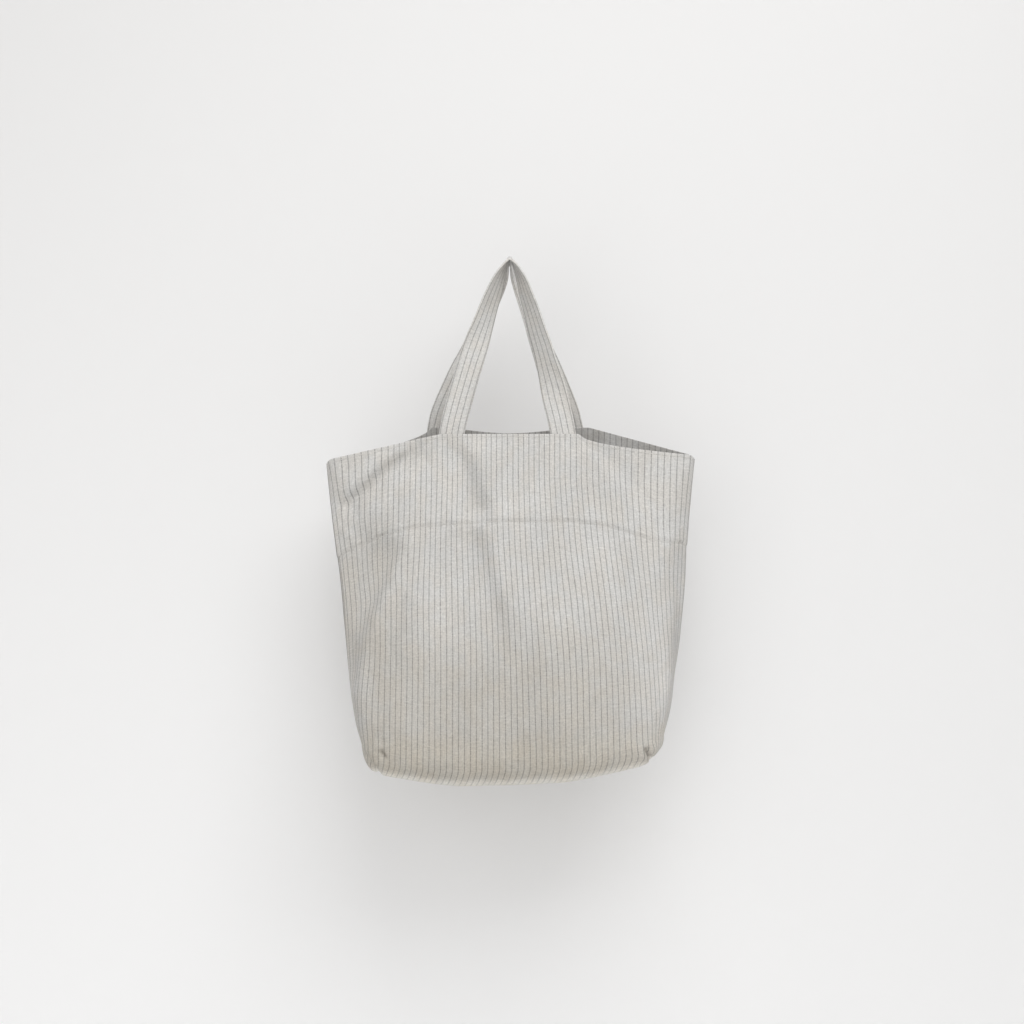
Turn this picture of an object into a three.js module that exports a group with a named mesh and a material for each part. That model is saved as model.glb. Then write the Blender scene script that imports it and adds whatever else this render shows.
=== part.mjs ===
// A soft linen carrier bag with two shoulder straps, hanging from a hook by both straps.
// Millimetres, +Z up, front towards -Y. The origin is where the hook touches the straps:
// under their highest point, midway between the front strap and the back strap.
import * as THREE from "three";

// Cloth and thread
const CLOTH = 0.8; // thickness of one layer of linen
const PLY_GAP = 0.3; // clearance between two layers that lie on each other
const THREAD_WIDTH = 0.8;
const THREAD_HEIGHT = 0.4;

// Body, hanging empty
const RIM_WIDTH = 461; // side seam to side seam along the rim
const RIM_DEPTH = 52; // opening between the front and the back rim
const RIM_SIDE_DEPTH = 16; // depth of the rim where the side seam closes it
const BASE_WIDTH = 342; // between the two boxed corners
const BASE_DEPTH = 118; // front to back at the base
const BACK_SETBACK = 26; // the back panel behind the hook, where it lies against the wall
const FRONT_DROP = 221; // hook to the front rim, between the straps
const BACK_DROP = 218; // hook to the back rim, midway between the straps
const BACK_RISE = 7; // the straps pull the back rim up by this much
const CORNER_DROP = 250; // hook to the rim's side corners
const BODY_DROP = 649; // hook to the lowest point of the base
const BASE_FLAT_WIDTH = 150; // middle of the base that lies level
const CORNER_LIFT = 17; // the boxed corners above the level middle of the base
const SIDE_SEAM_DROP = 632; // hook to the foot of the side seam
const EDGE_ROUND_HEIGHT = 34; // the face turns under into the base over this height
const EDGE_ROUND_INSET = 20; // and draws in by this much

// Hem
const HEM_DEPTH = 107; // rim to the row of stitches that holds the facing
const FACING_TURN = 6; // facing below that row
const RIM_STITCH_DEPTH = 3.5; // rim to the row of stitches along it
const TAIL_DEPTH = 40; // strap ends sewn in below the rim

// Straps
const STRAP_WIDTH = 32;
const STRAP_THICKNESS = 2.8; // four layers
// Between the middles of a strap's two ends, at the rim. A fold gathers the front between them.
const FRONT_STRAP_SPREAD = 142;
const BACK_STRAP_SPREAD = 164;
const STUB_HEIGHT = 4; // fixed end of the strap above the rim
const STRAP_EDGE = 0.6; // rounding of the strap's long edges
const STRAP_CLEARANCE = 1; // each strap's edge from the middle of the hook
const STRAP_STITCH_INSET = 3; // strap edge to its row of stitches

// Seam allowances inside
const SEAM_WIDTH = 10;
const SEAM_GAP = 0.2; // half the clearance between the two panels' edges
const SEAM_END_GAP = 4; // between the ends of two allowances that would cross

// How the hanging body narrows and fills out from the rim, at 0, to the base edge, at 1
const NARROWING_SHARES = [
  [0, 0], [0.27, 0.19], [0.42, 0.265], [0.58, 0.348], [0.67, 0.4], [0.79, 0.495], [0.91, 0.632], [1, 0.76],
];
const FRONT_REACH_SHARES = [[0, 0], [0.25, 0.1], [0.5, 0.3], [0.75, 0.62], [0.9, 0.92], [1, 1]];
const SIDE_SEAM_SHARES = [[0, 0.5], [0.3, 0.5], [0.6, 0.49], [1, 0.49]]; // from the back, of the depth
// Where each panel turns the corner towards the side seam, and how far the turn spreads, of the half width.
// The front's left side sags inwards below the hem, so its corner runs down as a slanting ridge.
const RIM_CORNER_SHARE = 0.985;
const FRONT_LEFT_CORNER_SHARES = [
  [0, RIM_CORNER_SHARE], [0.14, 0.92], [0.28, 0.79], [0.42, 0.765], [0.55, 0.78],
  [0.66, 0.825], [0.75, 0.87], [0.85, 0.92], [1, 0.955],
];
const FRONT_RIGHT_CORNER_SHARES = [
  [0, RIM_CORNER_SHARE], [0.28, 0.9], [0.5, 0.86], [0.75, 0.91], [1, 0.955],
];
const BACK_CORNER_SHARES = [[0, RIM_CORNER_SHARE], [0.28, 0.97], [0.6, 0.965], [1, 0.99]];
const CORNER_ROUND_SHARES = [[0, 0.016], [0.28, 0.1], [0.6, 0.13], [1, 0.11]];
const CORNER_REACH_SHARE = 0.9; // of the way from the seam to the panel's middle, front to back
const ROUND_LIMIT_SHARE = 0.6; // of the corner's side, the most that its rounding takes
const LENS_POWER = 3; // how squarely the rim's opening bulges
const FRONT_RIM_FALL_POWER = 0.75;
const BACK_RIM_FALL_POWER = 0.9;
const BASE_RISE_POWER = 1.5;
const PULL_POWER = 3; // how closely the base follows its boxed corners only near them
const BASE_SETTLE_GAIN = 2; // the base is level by half way to the middle seam
const HEM_SHARE = 0.27; // of the way from rim to base, for the body's section at the hem

// A strap's middle line from the hinge to the hook, as shares of its spread and of its drop
const STRAP_LINE_SHARES = [[0.97, 1], [0.9, 0.89], [0.635, 0.56], [0.31, 0.225], [0.13, 0.062]];
const TWIST_START_SHARE = 0.6; // of the drop, where the strap begins to turn edge on
const LINE_TENSION = 0.5;

const FABRIC_COLOUR = 0xd3d0c9;
const FACING_COLOUR = 0xc9c6bf;
const SEAM_COLOUR = 0xc2bfb6;
const THREAD_COLOUR = 0xddd9cf;

const FRONT = -1;
const BACK = 1;
const LEFT = -1;
const RIGHT = 1;

const FACE_ROWS = 7; // rows of faces between the hem and the turn into the base
const ROUND_ROWS = 4;
const SIDE_COLUMNS = 2; // columns between the side seam and the rounded corner
const CORNER_COLUMNS = 4;
const STRAP_STEPS = 44;
const END_COLUMNS = 2; // left free at each end of the bottom seam, for the boxed corners' seams

const linen = new THREE.MeshStandardMaterial({ color: FABRIC_COLOUR, roughness: 0.95, metalness: 0 });
const facingLinen = new THREE.MeshStandardMaterial({ color: FACING_COLOUR, roughness: 0.95, metalness: 0 });
const strapLinen = new THREE.MeshStandardMaterial({ color: FABRIC_COLOUR, roughness: 0.95, metalness: 0 });
const seamLinen = new THREE.MeshStandardMaterial({ color: SEAM_COLOUR, roughness: 0.98, metalness: 0 });
const thread = new THREE.MeshStandardMaterial({ color: THREAD_COLOUR, roughness: 0.8, metalness: 0 });

const { lerp, clamp } = THREE.MathUtils;

// The value at t of a table of [t, value] pairs, joined smoothly.
function tableAt(table, t) {
  const last = table.length - 1;
  let i = 0;
  while (i < last - 1 && t > table[i + 1][0]) i += 1;
  const [t0, v0] = table[i];
  const [t1, v1] = table[i + 1];
  const slopeAt = (k) => {
    const before = table[Math.max(k - 1, 0)];
    const after = table[Math.min(k + 1, last)];
    return (after[1] - before[1]) / (after[0] - before[0]);
  };
  const span = t1 - t0;
  const u = clamp((t - t0) / span, 0, 1);
  const rise = v1 - v0;
  const a = slopeAt(i) * span - rise;
  const b = rise - slopeAt(i + 1) * span;
  return v0 + rise * u + u * (1 - u) * ((1 - u) * a + u * b);
}

function strapSpread(side) {
  return side === FRONT ? FRONT_STRAP_SPREAD : BACK_STRAP_SPREAD;
}

// Height of the rim of one panel at a distance x from the middle.
function rimHeight(side, x) {
  const strapOuter = (strapSpread(side) + STRAP_WIDTH) / 2;
  const power = side === FRONT ? FRONT_RIM_FALL_POWER : BACK_RIM_FALL_POWER;
  const out = Math.abs(x);
  const strapHeight = side === FRONT ? -FRONT_DROP : BACK_RISE - BACK_DROP;
  if (out > strapOuter) {
    const share = (out - strapOuter) / (RIM_WIDTH / 2 - strapOuter);
    return strapHeight - (CORNER_DROP + strapHeight) * Math.min(share, 1) ** power;
  }
  const dip = side === FRONT ? 0 : BACK_RISE;
  return strapHeight - (dip / 2) * (1 + Math.cos((Math.PI * out) / strapOuter));
}

// Height of the underside of the base at a distance x from the middle.
function baseHeight(x) {
  const out = Math.max(Math.abs(x) - BASE_FLAT_WIDTH / 2, 0);
  const share = out / ((BASE_WIDTH - BASE_FLAT_WIDTH) / 2);
  return -BODY_DROP + CORNER_LIFT * Math.min(share, 1) ** BASE_RISE_POWER;
}

function cornerShares(side, hand) {
  if (side === BACK) return BACK_CORNER_SHARES;
  return hand === LEFT ? FRONT_LEFT_CORNER_SHARES : FRONT_RIGHT_CORNER_SHARES;
}

// The level outline of one half of a panel at t, from the middle of the panel out to the side seam.
function halfSection(side, hand, t) {
  const fullNarrowing = (RIM_WIDTH - BASE_WIDTH) / 2;
  const halfWidth = RIM_WIDTH / 2 - fullNarrowing * tableAt(NARROWING_SHARES, t);
  const frontReach = lerp(RIM_DEPTH / 2, BASE_DEPTH - BACK_SETBACK, tableAt(FRONT_REACH_SHARES, t));
  const middleY = side === FRONT ? -frontReach : BACK_SETBACK;
  const seamY = BACK_SETBACK - (frontReach + BACK_SETBACK) * tableAt(SIDE_SEAM_SHARES, t);
  const cornerX = halfWidth * tableAt(cornerShares(side, hand), t);
  const openness = clamp(t / HEM_SHARE, 0, 1);
  const rimCornerY = seamY + (side * RIM_SIDE_DEPTH) / 2;
  const cornerY = lerp(rimCornerY, lerp(seamY, middleY, CORNER_REACH_SHARE), openness);
  const round = halfWidth * tableAt(CORNER_ROUND_SHARES, t);
  const face = (x) => cornerY + (middleY - cornerY) * (1 - Math.abs(x / cornerX) ** LENS_POWER);
  const seam = new THREE.Vector2(halfWidth, seamY + side * SEAM_GAP);
  const corner = new THREE.Vector2(cornerX, cornerY);
  const faceEnd = cornerX - round;
  const spread = strapSpread(side);
  const strapInner = (spread - STRAP_WIDTH) / 2;
  const strapOuter = (spread + STRAP_WIDTH) / 2;
  const rimFaceEnd = (RIM_WIDTH / 2) * (RIM_CORNER_SHARE - CORNER_ROUND_SHARES[0][1]);
  const third = (rimFaceEnd - strapOuter) / 3;
  const faceStops = [
    0, strapInner / 3, (strapInner * 2) / 3, strapInner, spread / 2, strapOuter,
    strapOuter + third, strapOuter + 2 * third, rimFaceEnd,
  ];
  const points = faceStops.map((stop) => {
    const x = (stop / rimFaceEnd) * faceEnd;
    return new THREE.Vector2(x, face(x));
  });
  const roundStart = points[points.length - 1];
  const toSeam = seam.clone().sub(corner);
  const sideRound = Math.min(round, toSeam.length() * ROUND_LIMIT_SHARE);
  const roundEnd = corner.clone().addScaledVector(toSeam.clone().normalize(), sideRound);
  const bend = new THREE.QuadraticBezierCurve(roundStart, corner, roundEnd);
  for (let i = 1; i <= CORNER_COLUMNS; i += 1) points.push(bend.getPoint(i / CORNER_COLUMNS));
  for (let i = 1; i <= SIDE_COLUMNS; i += 1) points.push(roundEnd.clone().lerp(seam, i / SIDE_COLUMNS));
  return points;
}

// The whole level outline of a panel at t, from its left side seam to its right one.
function section(side, t) {
  const left = halfSection(side, LEFT, t).slice(1).reverse();
  const right = halfSection(side, RIGHT, t);
  return [...left.map((p) => new THREE.Vector2(-p.x, p.y)), ...right];
}

// The depths below the rim of the rows inside the hem.
const HEM_ROWS = [0, RIM_STITCH_DEPTH, TAIL_DEPTH, (TAIL_DEPTH + HEM_DEPTH) / 2, HEM_DEPTH];

// The grid of points of a panel's outside, from the rim to the front or back edge of the base.
function wallGrid(side) {
  const rim = section(side, 0);
  const foot = section(side, 1);
  const rimZ = rim.map((p) => rimHeight(side, p.x));
  const footZ = foot.map((p, j) => {
    const seamDistance = Math.min(j, foot.length - 1 - j);
    const sideShare = clamp(1 - seamDistance / (SIDE_COLUMNS + CORNER_COLUMNS), 0, 1);
    const edge = baseHeight(((p.x / foot[foot.length - 1].x) * BASE_WIDTH) / 2);
    return lerp(edge, -SIDE_SEAM_DROP, sideShare) + EDGE_ROUND_HEIGHT;
  });
  const rows = HEM_ROWS.map((depth) => {
    const outline = section(side, (HEM_SHARE * depth) / HEM_DEPTH);
    return outline.map((p, j) => new THREE.Vector3(p.x, p.y, rimZ[j] - depth));
  });
  for (let i = 1; i <= FACE_ROWS; i += 1) {
    const share = i / FACE_ROWS;
    const outline = section(side, lerp(HEM_SHARE, 1, share));
    const height = (j) => lerp(rimZ[j] - HEM_DEPTH, footZ[j], share);
    rows.push(outline.map((p, j) => new THREE.Vector3(p.x, p.y, height(j))));
  }
  const centreY = BACK_SETBACK - BASE_DEPTH / 2;
  for (let i = 1; i <= ROUND_ROWS; i += 1) {
    const angle = (Math.PI / 2) * (i / ROUND_ROWS);
    const inset = EDGE_ROUND_INSET * (1 - Math.cos(angle));
    const narrower = 1 - inset / foot[foot.length - 1].x;
    const shallower = 1 - inset / (BASE_DEPTH / 2);
    rows.push(foot.map((p, j) => {
      const y = centreY + (p.y - centreY) * shallower;
      return new THREE.Vector3(p.x * narrower, y, footZ[j] - EDGE_ROUND_HEIGHT * Math.sin(angle));
    }));
  }
  return rows;
}

// Columns at each end of the base edge that belong to the boxed corner's side.
const CORNER_INDEX = SIDE_COLUMNS + CORNER_COLUMNS / 2;

// The grid of points of a panel's half of the base, from its front or back edge to the seam in the middle.
function baseGrid(wall) {
  const edge = wall[wall.length - 1];
  const last = edge.length - 1;
  const face = edge.slice(CORNER_INDEX, last - CORNER_INDEX + 1);
  const faceLast = face.length - 1;
  const seamX = edge[last].x;
  const middle = face.map((p, j) => {
    const x = (p.x / face[faceLast].x) * seamX;
    const level = Math.min(baseHeight(((x / seamX) * BASE_WIDTH) / 2), edge[0].z);
    return new THREE.Vector3(x, edge[0].y, j === 0 || j === faceLast ? edge[0].z : level);
  });
  const rows = [face];
  for (let k = 1; k <= CORNER_INDEX; k += 1) {
    const v = k / CORNER_INDEX;
    const straight = face.map((p, j) => p.clone().lerp(middle[j], v));
    const leftEnd = edge[CORNER_INDEX - k];
    const rightEnd = edge[last - CORNER_INDEX + k];
    const leftPull = leftEnd.clone().sub(straight[0]);
    const rightPull = rightEnd.clone().sub(straight[faceLast]);
    const settled = Math.min(1, v * BASE_SETTLE_GAIN);
    rows.push(straight.map((p, j) => {
      if (j === 0) return leftEnd;
      if (j === faceLast) return rightEnd;
      const u = j / faceLast;
      p.addScaledVector(leftPull, (1 - u) ** PULL_POWER).addScaledVector(rightPull, u ** PULL_POWER);
      const level = lerp(face[j].z, middle[j].z, settled);
      return p.setZ(lerp(p.z, level, Math.min(1, BASE_SETTLE_GAIN * Math.sin(Math.PI * u))));
    }));
  }
  return rows;
}

// Adds the two triangles of each cell of a grid of vertex numbers. Turned, they face the other way.
function gridFaces(numbers, faces, turned = false) {
  for (let i = 0; i + 1 < numbers.length; i += 1) {
    for (let j = 0; j + 1 < numbers[i].length; j += 1) {
      const [a, b] = [numbers[i][j], numbers[i][j + 1]];
      const [c, d] = [numbers[i + 1][j], numbers[i + 1][j + 1]];
      const cell = [[a, c, d], [a, d, b]];
      cell.forEach(([p, q, r]) => faces.push(turned ? [p, r, q] : [p, q, r]));
    }
  }
}

// The outward direction at each point of an open surface.
function normalsOf(points, faces) {
  const normals = points.map(() => new THREE.Vector3());
  const ab = new THREE.Vector3();
  const ac = new THREE.Vector3();
  faces.forEach((face) => {
    const [a, b, c] = face.map((n) => points[n]);
    const normal = ab.subVectors(b, a).cross(ac.subVectors(c, a));
    face.forEach((n) => normals[n].add(normal));
  });
  return normals.map((n) => n.normalize());
}

// A closed solid from an open surface: one skin at lift above it, and the other at lift minus thickness.
function thicken(points, normals, faces, lifts, thickness) {
  const count = points.length;
  const positions = [];
  [0, thickness].forEach((depth) => points.forEach((p, n) => {
    positions.push(...p.clone().addScaledVector(normals[n], lifts[n] - depth).toArray());
  }));
  const index = [];
  const edges = new Map();
  faces.forEach(([a, b, c]) => {
    index.push(a, b, c, a + count, c + count, b + count);
    [[a, b], [b, c], [c, a]].forEach(([p, q]) => {
      if (!edges.delete(`${q},${p}`)) edges.set(`${p},${q}`, [p, q]);
    });
  });
  edges.forEach(([p, q]) => index.push(q, p, p + count, q, p + count, q + count));
  const geometry = new THREE.BufferGeometry();
  geometry.setAttribute("position", new THREE.Float32BufferAttribute(positions, 3));
  geometry.setIndex(index);
  geometry.computeVertexNormals();
  return geometry;
}

// One panel of the body: its wall and its half of the base, with the outward direction at every point.
function makePanel(side) {
  const wall = wallGrid(side);
  const base = baseGrid(wall);
  const points = wall.flat();
  const width = wall[0].length;
  const wallNumbers = wall.map((row, i) => row.map((_, j) => i * width + j));
  const edgeNumbers = wallNumbers[wallNumbers.length - 1];
  const baseNumbers = base.map((row, k) => row.map((p, j) => {
    if (k === 0) return edgeNumbers[CORNER_INDEX + j];
    if (j === 0) return edgeNumbers[CORNER_INDEX - k];
    if (j === row.length - 1) return edgeNumbers[width - 1 - CORNER_INDEX + k];
    points.push(p);
    return points.length - 1;
  }));
  const faces = [];
  gridFaces(wallNumbers, faces, side === BACK);
  gridFaces(baseNumbers, faces, side === BACK);
  const normals = normalsOf(points, faces);
  // Both panels' edges meet squarely along the side seams and the bottom seam.
  const sideSeams = wallNumbers.flatMap((row) => [row[0], row[width - 1]]);
  [...sideSeams, ...baseNumbers[CORNER_INDEX]].forEach((n) => normals[n].setY(0).normalize());
  const place = (n) => ({ point: points[n], normal: normals[n] });
  const pick = (numbers) => numbers.map((row) => row.map(place));
  return { side, points, normals, faces, wall: pick(wallNumbers), base: pick(baseNumbers) };
}

// The point and the outward direction between the points of a grid.
function gridAt(grid, row, column) {
  const i = clamp(Math.floor(row), 0, grid.length - 2);
  const j = clamp(Math.floor(column), 0, grid[0].length - 2);
  const [u, v] = [row - i, column - j];
  const mix = (key) => {
    const top = grid[i][j][key].clone().lerp(grid[i][j + 1][key], v);
    return top.lerp(grid[i + 1][j][key].clone().lerp(grid[i + 1][j + 1][key], v), u);
  };
  return { point: mix("point"), normal: mix("normal").normalize() };
}

// The row number in a wall's grid that lies at a depth below the rim, inside the hem and just below it.
function rowAtDepth(panel, depth) {
  const last = HEM_ROWS.length - 1;
  for (let i = 0; i < last; i += 1) {
    if (depth <= HEM_ROWS[i + 1]) return i + (depth - HEM_ROWS[i]) / (HEM_ROWS[i + 1] - HEM_ROWS[i]);
  }
  const middle = (panel.wall[0].length - 1) / 2;
  const below = panel.wall[last][middle].point.z - panel.wall[last + 1][middle].point.z;
  return last + (depth - HEM_DEPTH) / below;
}

// A closed slab over a grid of { point, normal } places, between two heights above it.
function slab(places, liftAt, thickness, side) {
  const points = places.flat().map((place) => place.point);
  const normals = places.flat().map((place) => place.normal);
  const width = places[0].length;
  const numbers = places.map((row, i) => row.map((_, j) => i * width + j));
  const lifts = places.flatMap((row, i) => row.map((_, j) => liftAt(i, j)));
  const faces = [];
  gridFaces(numbers, faces, side === BACK);
  return thicken(points, normals, faces, lifts, thickness);
}

const bag = new THREE.Group();
bag.name = "linen_bag";

function addMesh(name, geometry, material) {
  const mesh = new THREE.Mesh(geometry, material);
  mesh.name = name;
  bag.add(mesh);
  return mesh;
}

const UNDER_PANEL = -(CLOTH + PLY_GAP); // what lies inside a panel starts here
const MIDDLE_COLUMN = (section(FRONT, 0).length - 1) / 2;
const STRAP_COLUMNS = [3, 4, 5]; // columns at the strap's inner edge, middle and outer edge

// The inner facing of the hem. It bulges inwards over the sewn-in strap ends.
function makeFacing(panel) {
  const depths = [...HEM_ROWS, HEM_DEPTH + FACING_TURN];
  const rows = depths.map((depth) => rowAtDepth(panel, depth));
  const places = rows.map((row) => panel.wall[0].map((_, column) => gridAt(panel.wall, row, column)));
  const lift = (i, j) => {
    const overTail = depths[i] <= TAIL_DEPTH && STRAP_COLUMNS.includes(Math.abs(j - MIDDLE_COLUMN));
    return overTail ? UNDER_PANEL - STRAP_THICKNESS - PLY_GAP : UNDER_PANEL;
  };
  return slab(places, lift, CLOTH, panel.side);
}

// A row of stitches on the outside of a panel, at a depth below the rim.
function makePanelStitching(panel, depth) {
  const rails = [depth - THREAD_WIDTH / 2, depth + THREAD_WIDTH / 2];
  const places = rails.map((rail) =>
    panel.wall[0].map((_, column) => gridAt(panel.wall, rowAtDepth(panel, rail), column)),
  );
  return slab(places, () => PLY_GAP + THREAD_HEIGHT, THREAD_HEIGHT, panel.side);
}

// Where a strap leaves the rim, and the line that it folds over.
function strapRoot(panel) {
  const column = MIDDLE_COLUMN + STRAP_COLUMNS[1];
  const rim = panel.wall[0][column].point;
  const y = rim.y - panel.side * (CLOTH + PLY_GAP + STRAP_THICKNESS / 2);
  const hingeZ = rim.z + STUB_HEIGHT + PLY_GAP;
  return { rimY: rim.y, rimZ: rim.z, y, hingeZ, halfSpread: strapSpread(panel.side) / 2 };
}

// A strap end: sewn between the panel and its facing, and standing a little above the rim.
function makeTail(panel, hand) {
  const columns = STRAP_COLUMNS.map((c) => MIDDLE_COLUMN + hand * c).sort((a, b) => a - b);
  const { rimY, rimZ, hingeZ, halfSpread } = strapRoot(panel);
  const lean = halfSpread * (1 - STRAP_LINE_SHARES[0][0]);
  const topShare = STUB_HEIGHT / (hingeZ - rimZ);
  const out = new THREE.Vector3(0, panel.side, 0);
  const stub = columns.map((column) => {
    const x = panel.wall[0][column].point.x - hand * lean * topShare;
    return { point: new THREE.Vector3(x, rimY, rimZ + STUB_HEIGHT), normal: out };
  });
  const sewnRows = HEM_ROWS.map((_, row) => row).filter((row) => HEM_ROWS[row] <= TAIL_DEPTH);
  const sewn = sewnRows.map((row) => columns.map((column) => gridAt(panel.wall, row, column)));
  return slab([stub, ...sewn], () => UNDER_PANEL, STRAP_THICKNESS, panel.side);
}

// The middle line of a strap's free loop, from its left hinge over the hook to its right hinge.
function strapLine(root) {
  const crown = STRAP_THICKNESS / 2;
  const drop = crown - root.hingeZ;
  const legs = STRAP_LINE_SHARES.map(([out, down]) => [root.halfSpread * out, crown - drop * down]);
  const left = legs.map(([x, z]) => new THREE.Vector3(-x, 0, z));
  const right = legs.reverse().map(([x, z]) => new THREE.Vector3(x, 0, z));
  const points = [...left, new THREE.Vector3(0, 0, crown), ...right];
  return new THREE.CatmullRomCurve3(points, false, "catmullrom", LINE_TENSION);
}

// The middle of a strap and its directions at a share of the way along its line.
function strapFrame(line, root, share, side) {
  const middle = line.getPointAt(share);
  const tangent = line.getTangentAt(share);
  const drop = STRAP_THICKNESS / 2 - root.hingeZ;
  const height = clamp(1 - (STRAP_THICKNESS / 2 - middle.z) / drop, 0, 1);
  const crownY = side * (STRAP_WIDTH / 2 + STRAP_CLEARANCE);
  middle.y = lerp(root.y, crownY, height);
  const turn = clamp((height - (1 - TWIST_START_SHARE)) / TWIST_START_SHARE, 0, 1);
  const twist = (Math.PI / 2) * turn;
  const upright = new THREE.Vector3(-tangent.z, 0, tangent.x);
  const outward = new THREE.Vector3(0, side, 0);
  const face = outward.clone().multiplyScalar(Math.cos(twist)).addScaledVector(upright, -Math.sin(twist));
  const across = upright.clone().multiplyScalar(Math.cos(twist)).addScaledVector(outward, Math.sin(twist));
  // Near the hinge the strap is cut level, so that its end turns about the hinge line.
  const level = new THREE.Vector3(Math.sign(upright.x) || 1, 0, 0);
  const square = clamp(height / (1 - TWIST_START_SHARE), 0, 1);
  const width = across.clone().lerp(level, 1 - square).normalize();
  return { middle, face, width, stretch: 1 / Math.abs(width.dot(across)) };
}

// A ring of points round a strap at a share of its line, from [across, out] places on its section.
function strapRing(panel, root, line, share, profile) {
  const { middle, face, width, stretch } = strapFrame(line, root, share, panel.side);
  return profile.map(([across, out]) =>
    middle.clone().addScaledVector(width, across * stretch).addScaledVector(face, out),
  );
}

// A closed solid through rings of points, with flat ends.
function ringsToSolid(rings) {
  const size = rings[0].length;
  const positions = rings.flat().flatMap((p) => p.toArray());
  const index = [];
  for (let i = 0; i + 1 < rings.length; i += 1) {
    for (let j = 0; j < size; j += 1) {
      const next = (j + 1) % size;
      const [a, b] = [i * size + j, i * size + next];
      index.push(a, b, b + size, a, b + size, a + size);
    }
  }
  const end = (rings.length - 1) * size;
  for (let j = 1; j + 1 < size; j += 1) {
    index.push(0, j + 1, j);
    index.push(end, end + j, end + j + 1);
  }
  const geometry = new THREE.BufferGeometry();
  geometry.setAttribute("position", new THREE.Float32BufferAttribute(positions, 3));
  const turned = signedVolume(positions, index) < 0;
  if (turned) index.reverse();
  geometry.setIndex(index);
  geometry.computeVertexNormals();
  return geometry;
}

// Six times the volume that a closed surface holds, below zero if its faces point inwards.
function signedVolume(positions, index) {
  const corner = (n) => new THREE.Vector3().fromArray(positions, n * 3);
  let sum = 0;
  for (let i = 0; i < index.length; i += 3) {
    sum += corner(index[i]).dot(corner(index[i + 1]).cross(corner(index[i + 2])));
  }
  return sum;
}

// A strap's section, with a point on each face at its rows of stitches and at its middle.
function strapProfile() {
  const halfWidth = STRAP_WIDTH / 2;
  const halfThickness = STRAP_THICKNESS / 2;
  const inner = halfWidth - STRAP_EDGE;
  const stitches = halfWidth - STRAP_STITCH_INSET;
  const across = [-inner, -stitches, 0, stitches, inner];
  return [
    [-halfWidth, STRAP_EDGE - halfThickness],
    ...across.map((x) => [x, -halfThickness]),
    [halfWidth, STRAP_EDGE - halfThickness],
    [halfWidth, halfThickness - STRAP_EDGE],
    ...across.map((x) => [-x, halfThickness]),
    [-halfWidth, halfThickness - STRAP_EDGE],
  ];
}

// The free loop of a strap, cut level above its two sewn ends.
function makeStrap(panel) {
  const root = strapRoot(panel);
  const line = strapLine(root);
  const rings = [];
  for (let i = 0; i <= STRAP_STEPS; i += 1) {
    rings.push(strapRing(panel, root, line, i / STRAP_STEPS, strapProfile()));
  }
  return ringsToSolid(rings);
}

// A row of stitches along one edge of a strap, on its outer face.
function makeStrapStitching(panel, hand) {
  const root = strapRoot(panel);
  const line = strapLine(root);
  const middle = hand * (STRAP_WIDTH / 2 - STRAP_STITCH_INSET);
  const low = STRAP_THICKNESS / 2 + PLY_GAP;
  const profile = [
    [middle - THREAD_WIDTH / 2, low], [middle + THREAD_WIDTH / 2, low],
    [middle + THREAD_WIDTH / 2, low + THREAD_HEIGHT], [middle - THREAD_WIDTH / 2, low + THREAD_HEIGHT],
  ];
  const rings = [];
  for (let i = 1; i < STRAP_STEPS; i += 1) {
    rings.push(strapRing(panel, root, line, i / STRAP_STEPS, profile));
  }
  return ringsToSolid(rings);
}

// Two raw edges sewn together and folded flat, between two rails of places on the inside.
function makeAllowance(rails, side) {
  return slab(rails, () => UNDER_PANEL, 2 * CLOTH, side);
}

// The allowance of a side seam, folded against the back panel.
function makeSideAllowance(panel, hand) {
  const seamColumn = hand === RIGHT ? panel.wall[0].length - 1 : 0;
  const first = rowAtDepth(panel, HEM_DEPTH + FACING_TURN + SEAM_END_GAP);
  const rows = [first];
  const footRow = panel.wall.length - 1 - ROUND_ROWS;
  for (let row = Math.floor(first) + 1; row <= footRow; row += 1) rows.push(row);
  const places = rows.map((row) => {
    const seam = gridAt(panel.wall, row, seamColumn);
    const next = gridAt(panel.wall, row, seamColumn - hand);
    const inset = Math.min(SEAM_WIDTH / seam.point.distanceTo(next.point), 1);
    const inner = gridAt(panel.wall, row, seamColumn - hand * inset);
    return hand === RIGHT ? [inner, seam] : [seam, inner];
  });
  return makeAllowance(places, panel.side);
}

// The allowance of the seam along the middle of the base.
function makeBottomAllowance(panel) {
  const seamRow = panel.base.length - 1;
  const middle = MIDDLE_COLUMN - CORNER_INDEX;
  const depth = panel.base[seamRow][middle].point.distanceTo(panel.base[seamRow - 1][middle].point);
  const rows = [seamRow - SEAM_WIDTH / depth, seamRow];
  const columns = panel.base[0].map((_, j) => j).slice(END_COLUMNS, -END_COLUMNS);
  const places = rows.map((row) => columns.map((column) => gridAt(panel.base, row, column)));
  return makeAllowance(places, panel.side);
}

// The allowance of a boxed corner's seam on one panel, folded onto the base.
function makeCornerAllowance(panel, hand) {
  const last = panel.base[0].length - 1;
  const rows = panel.base.map((_, k) => k).slice(0, -1);
  const places = rows.map((k) => {
    const edge = hand === RIGHT ? last : 0;
    const seam = gridAt(panel.base, k, edge);
    const next = gridAt(panel.base, k, edge - hand);
    const outer = PLY_GAP + 2 * CLOTH;
    const width = seam.point.distanceTo(next.point);
    const from = gridAt(panel.base, k, edge - (hand * outer) / width);
    const to = gridAt(panel.base, k, edge - hand * Math.min((SEAM_WIDTH + outer) / width, 1));
    return hand === RIGHT ? [to, from] : [from, to];
  });
  return makeAllowance(places, panel.side);
}

const panels = { front: makePanel(FRONT), back: makePanel(BACK) };
const hands = { left: LEFT, right: RIGHT };

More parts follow.
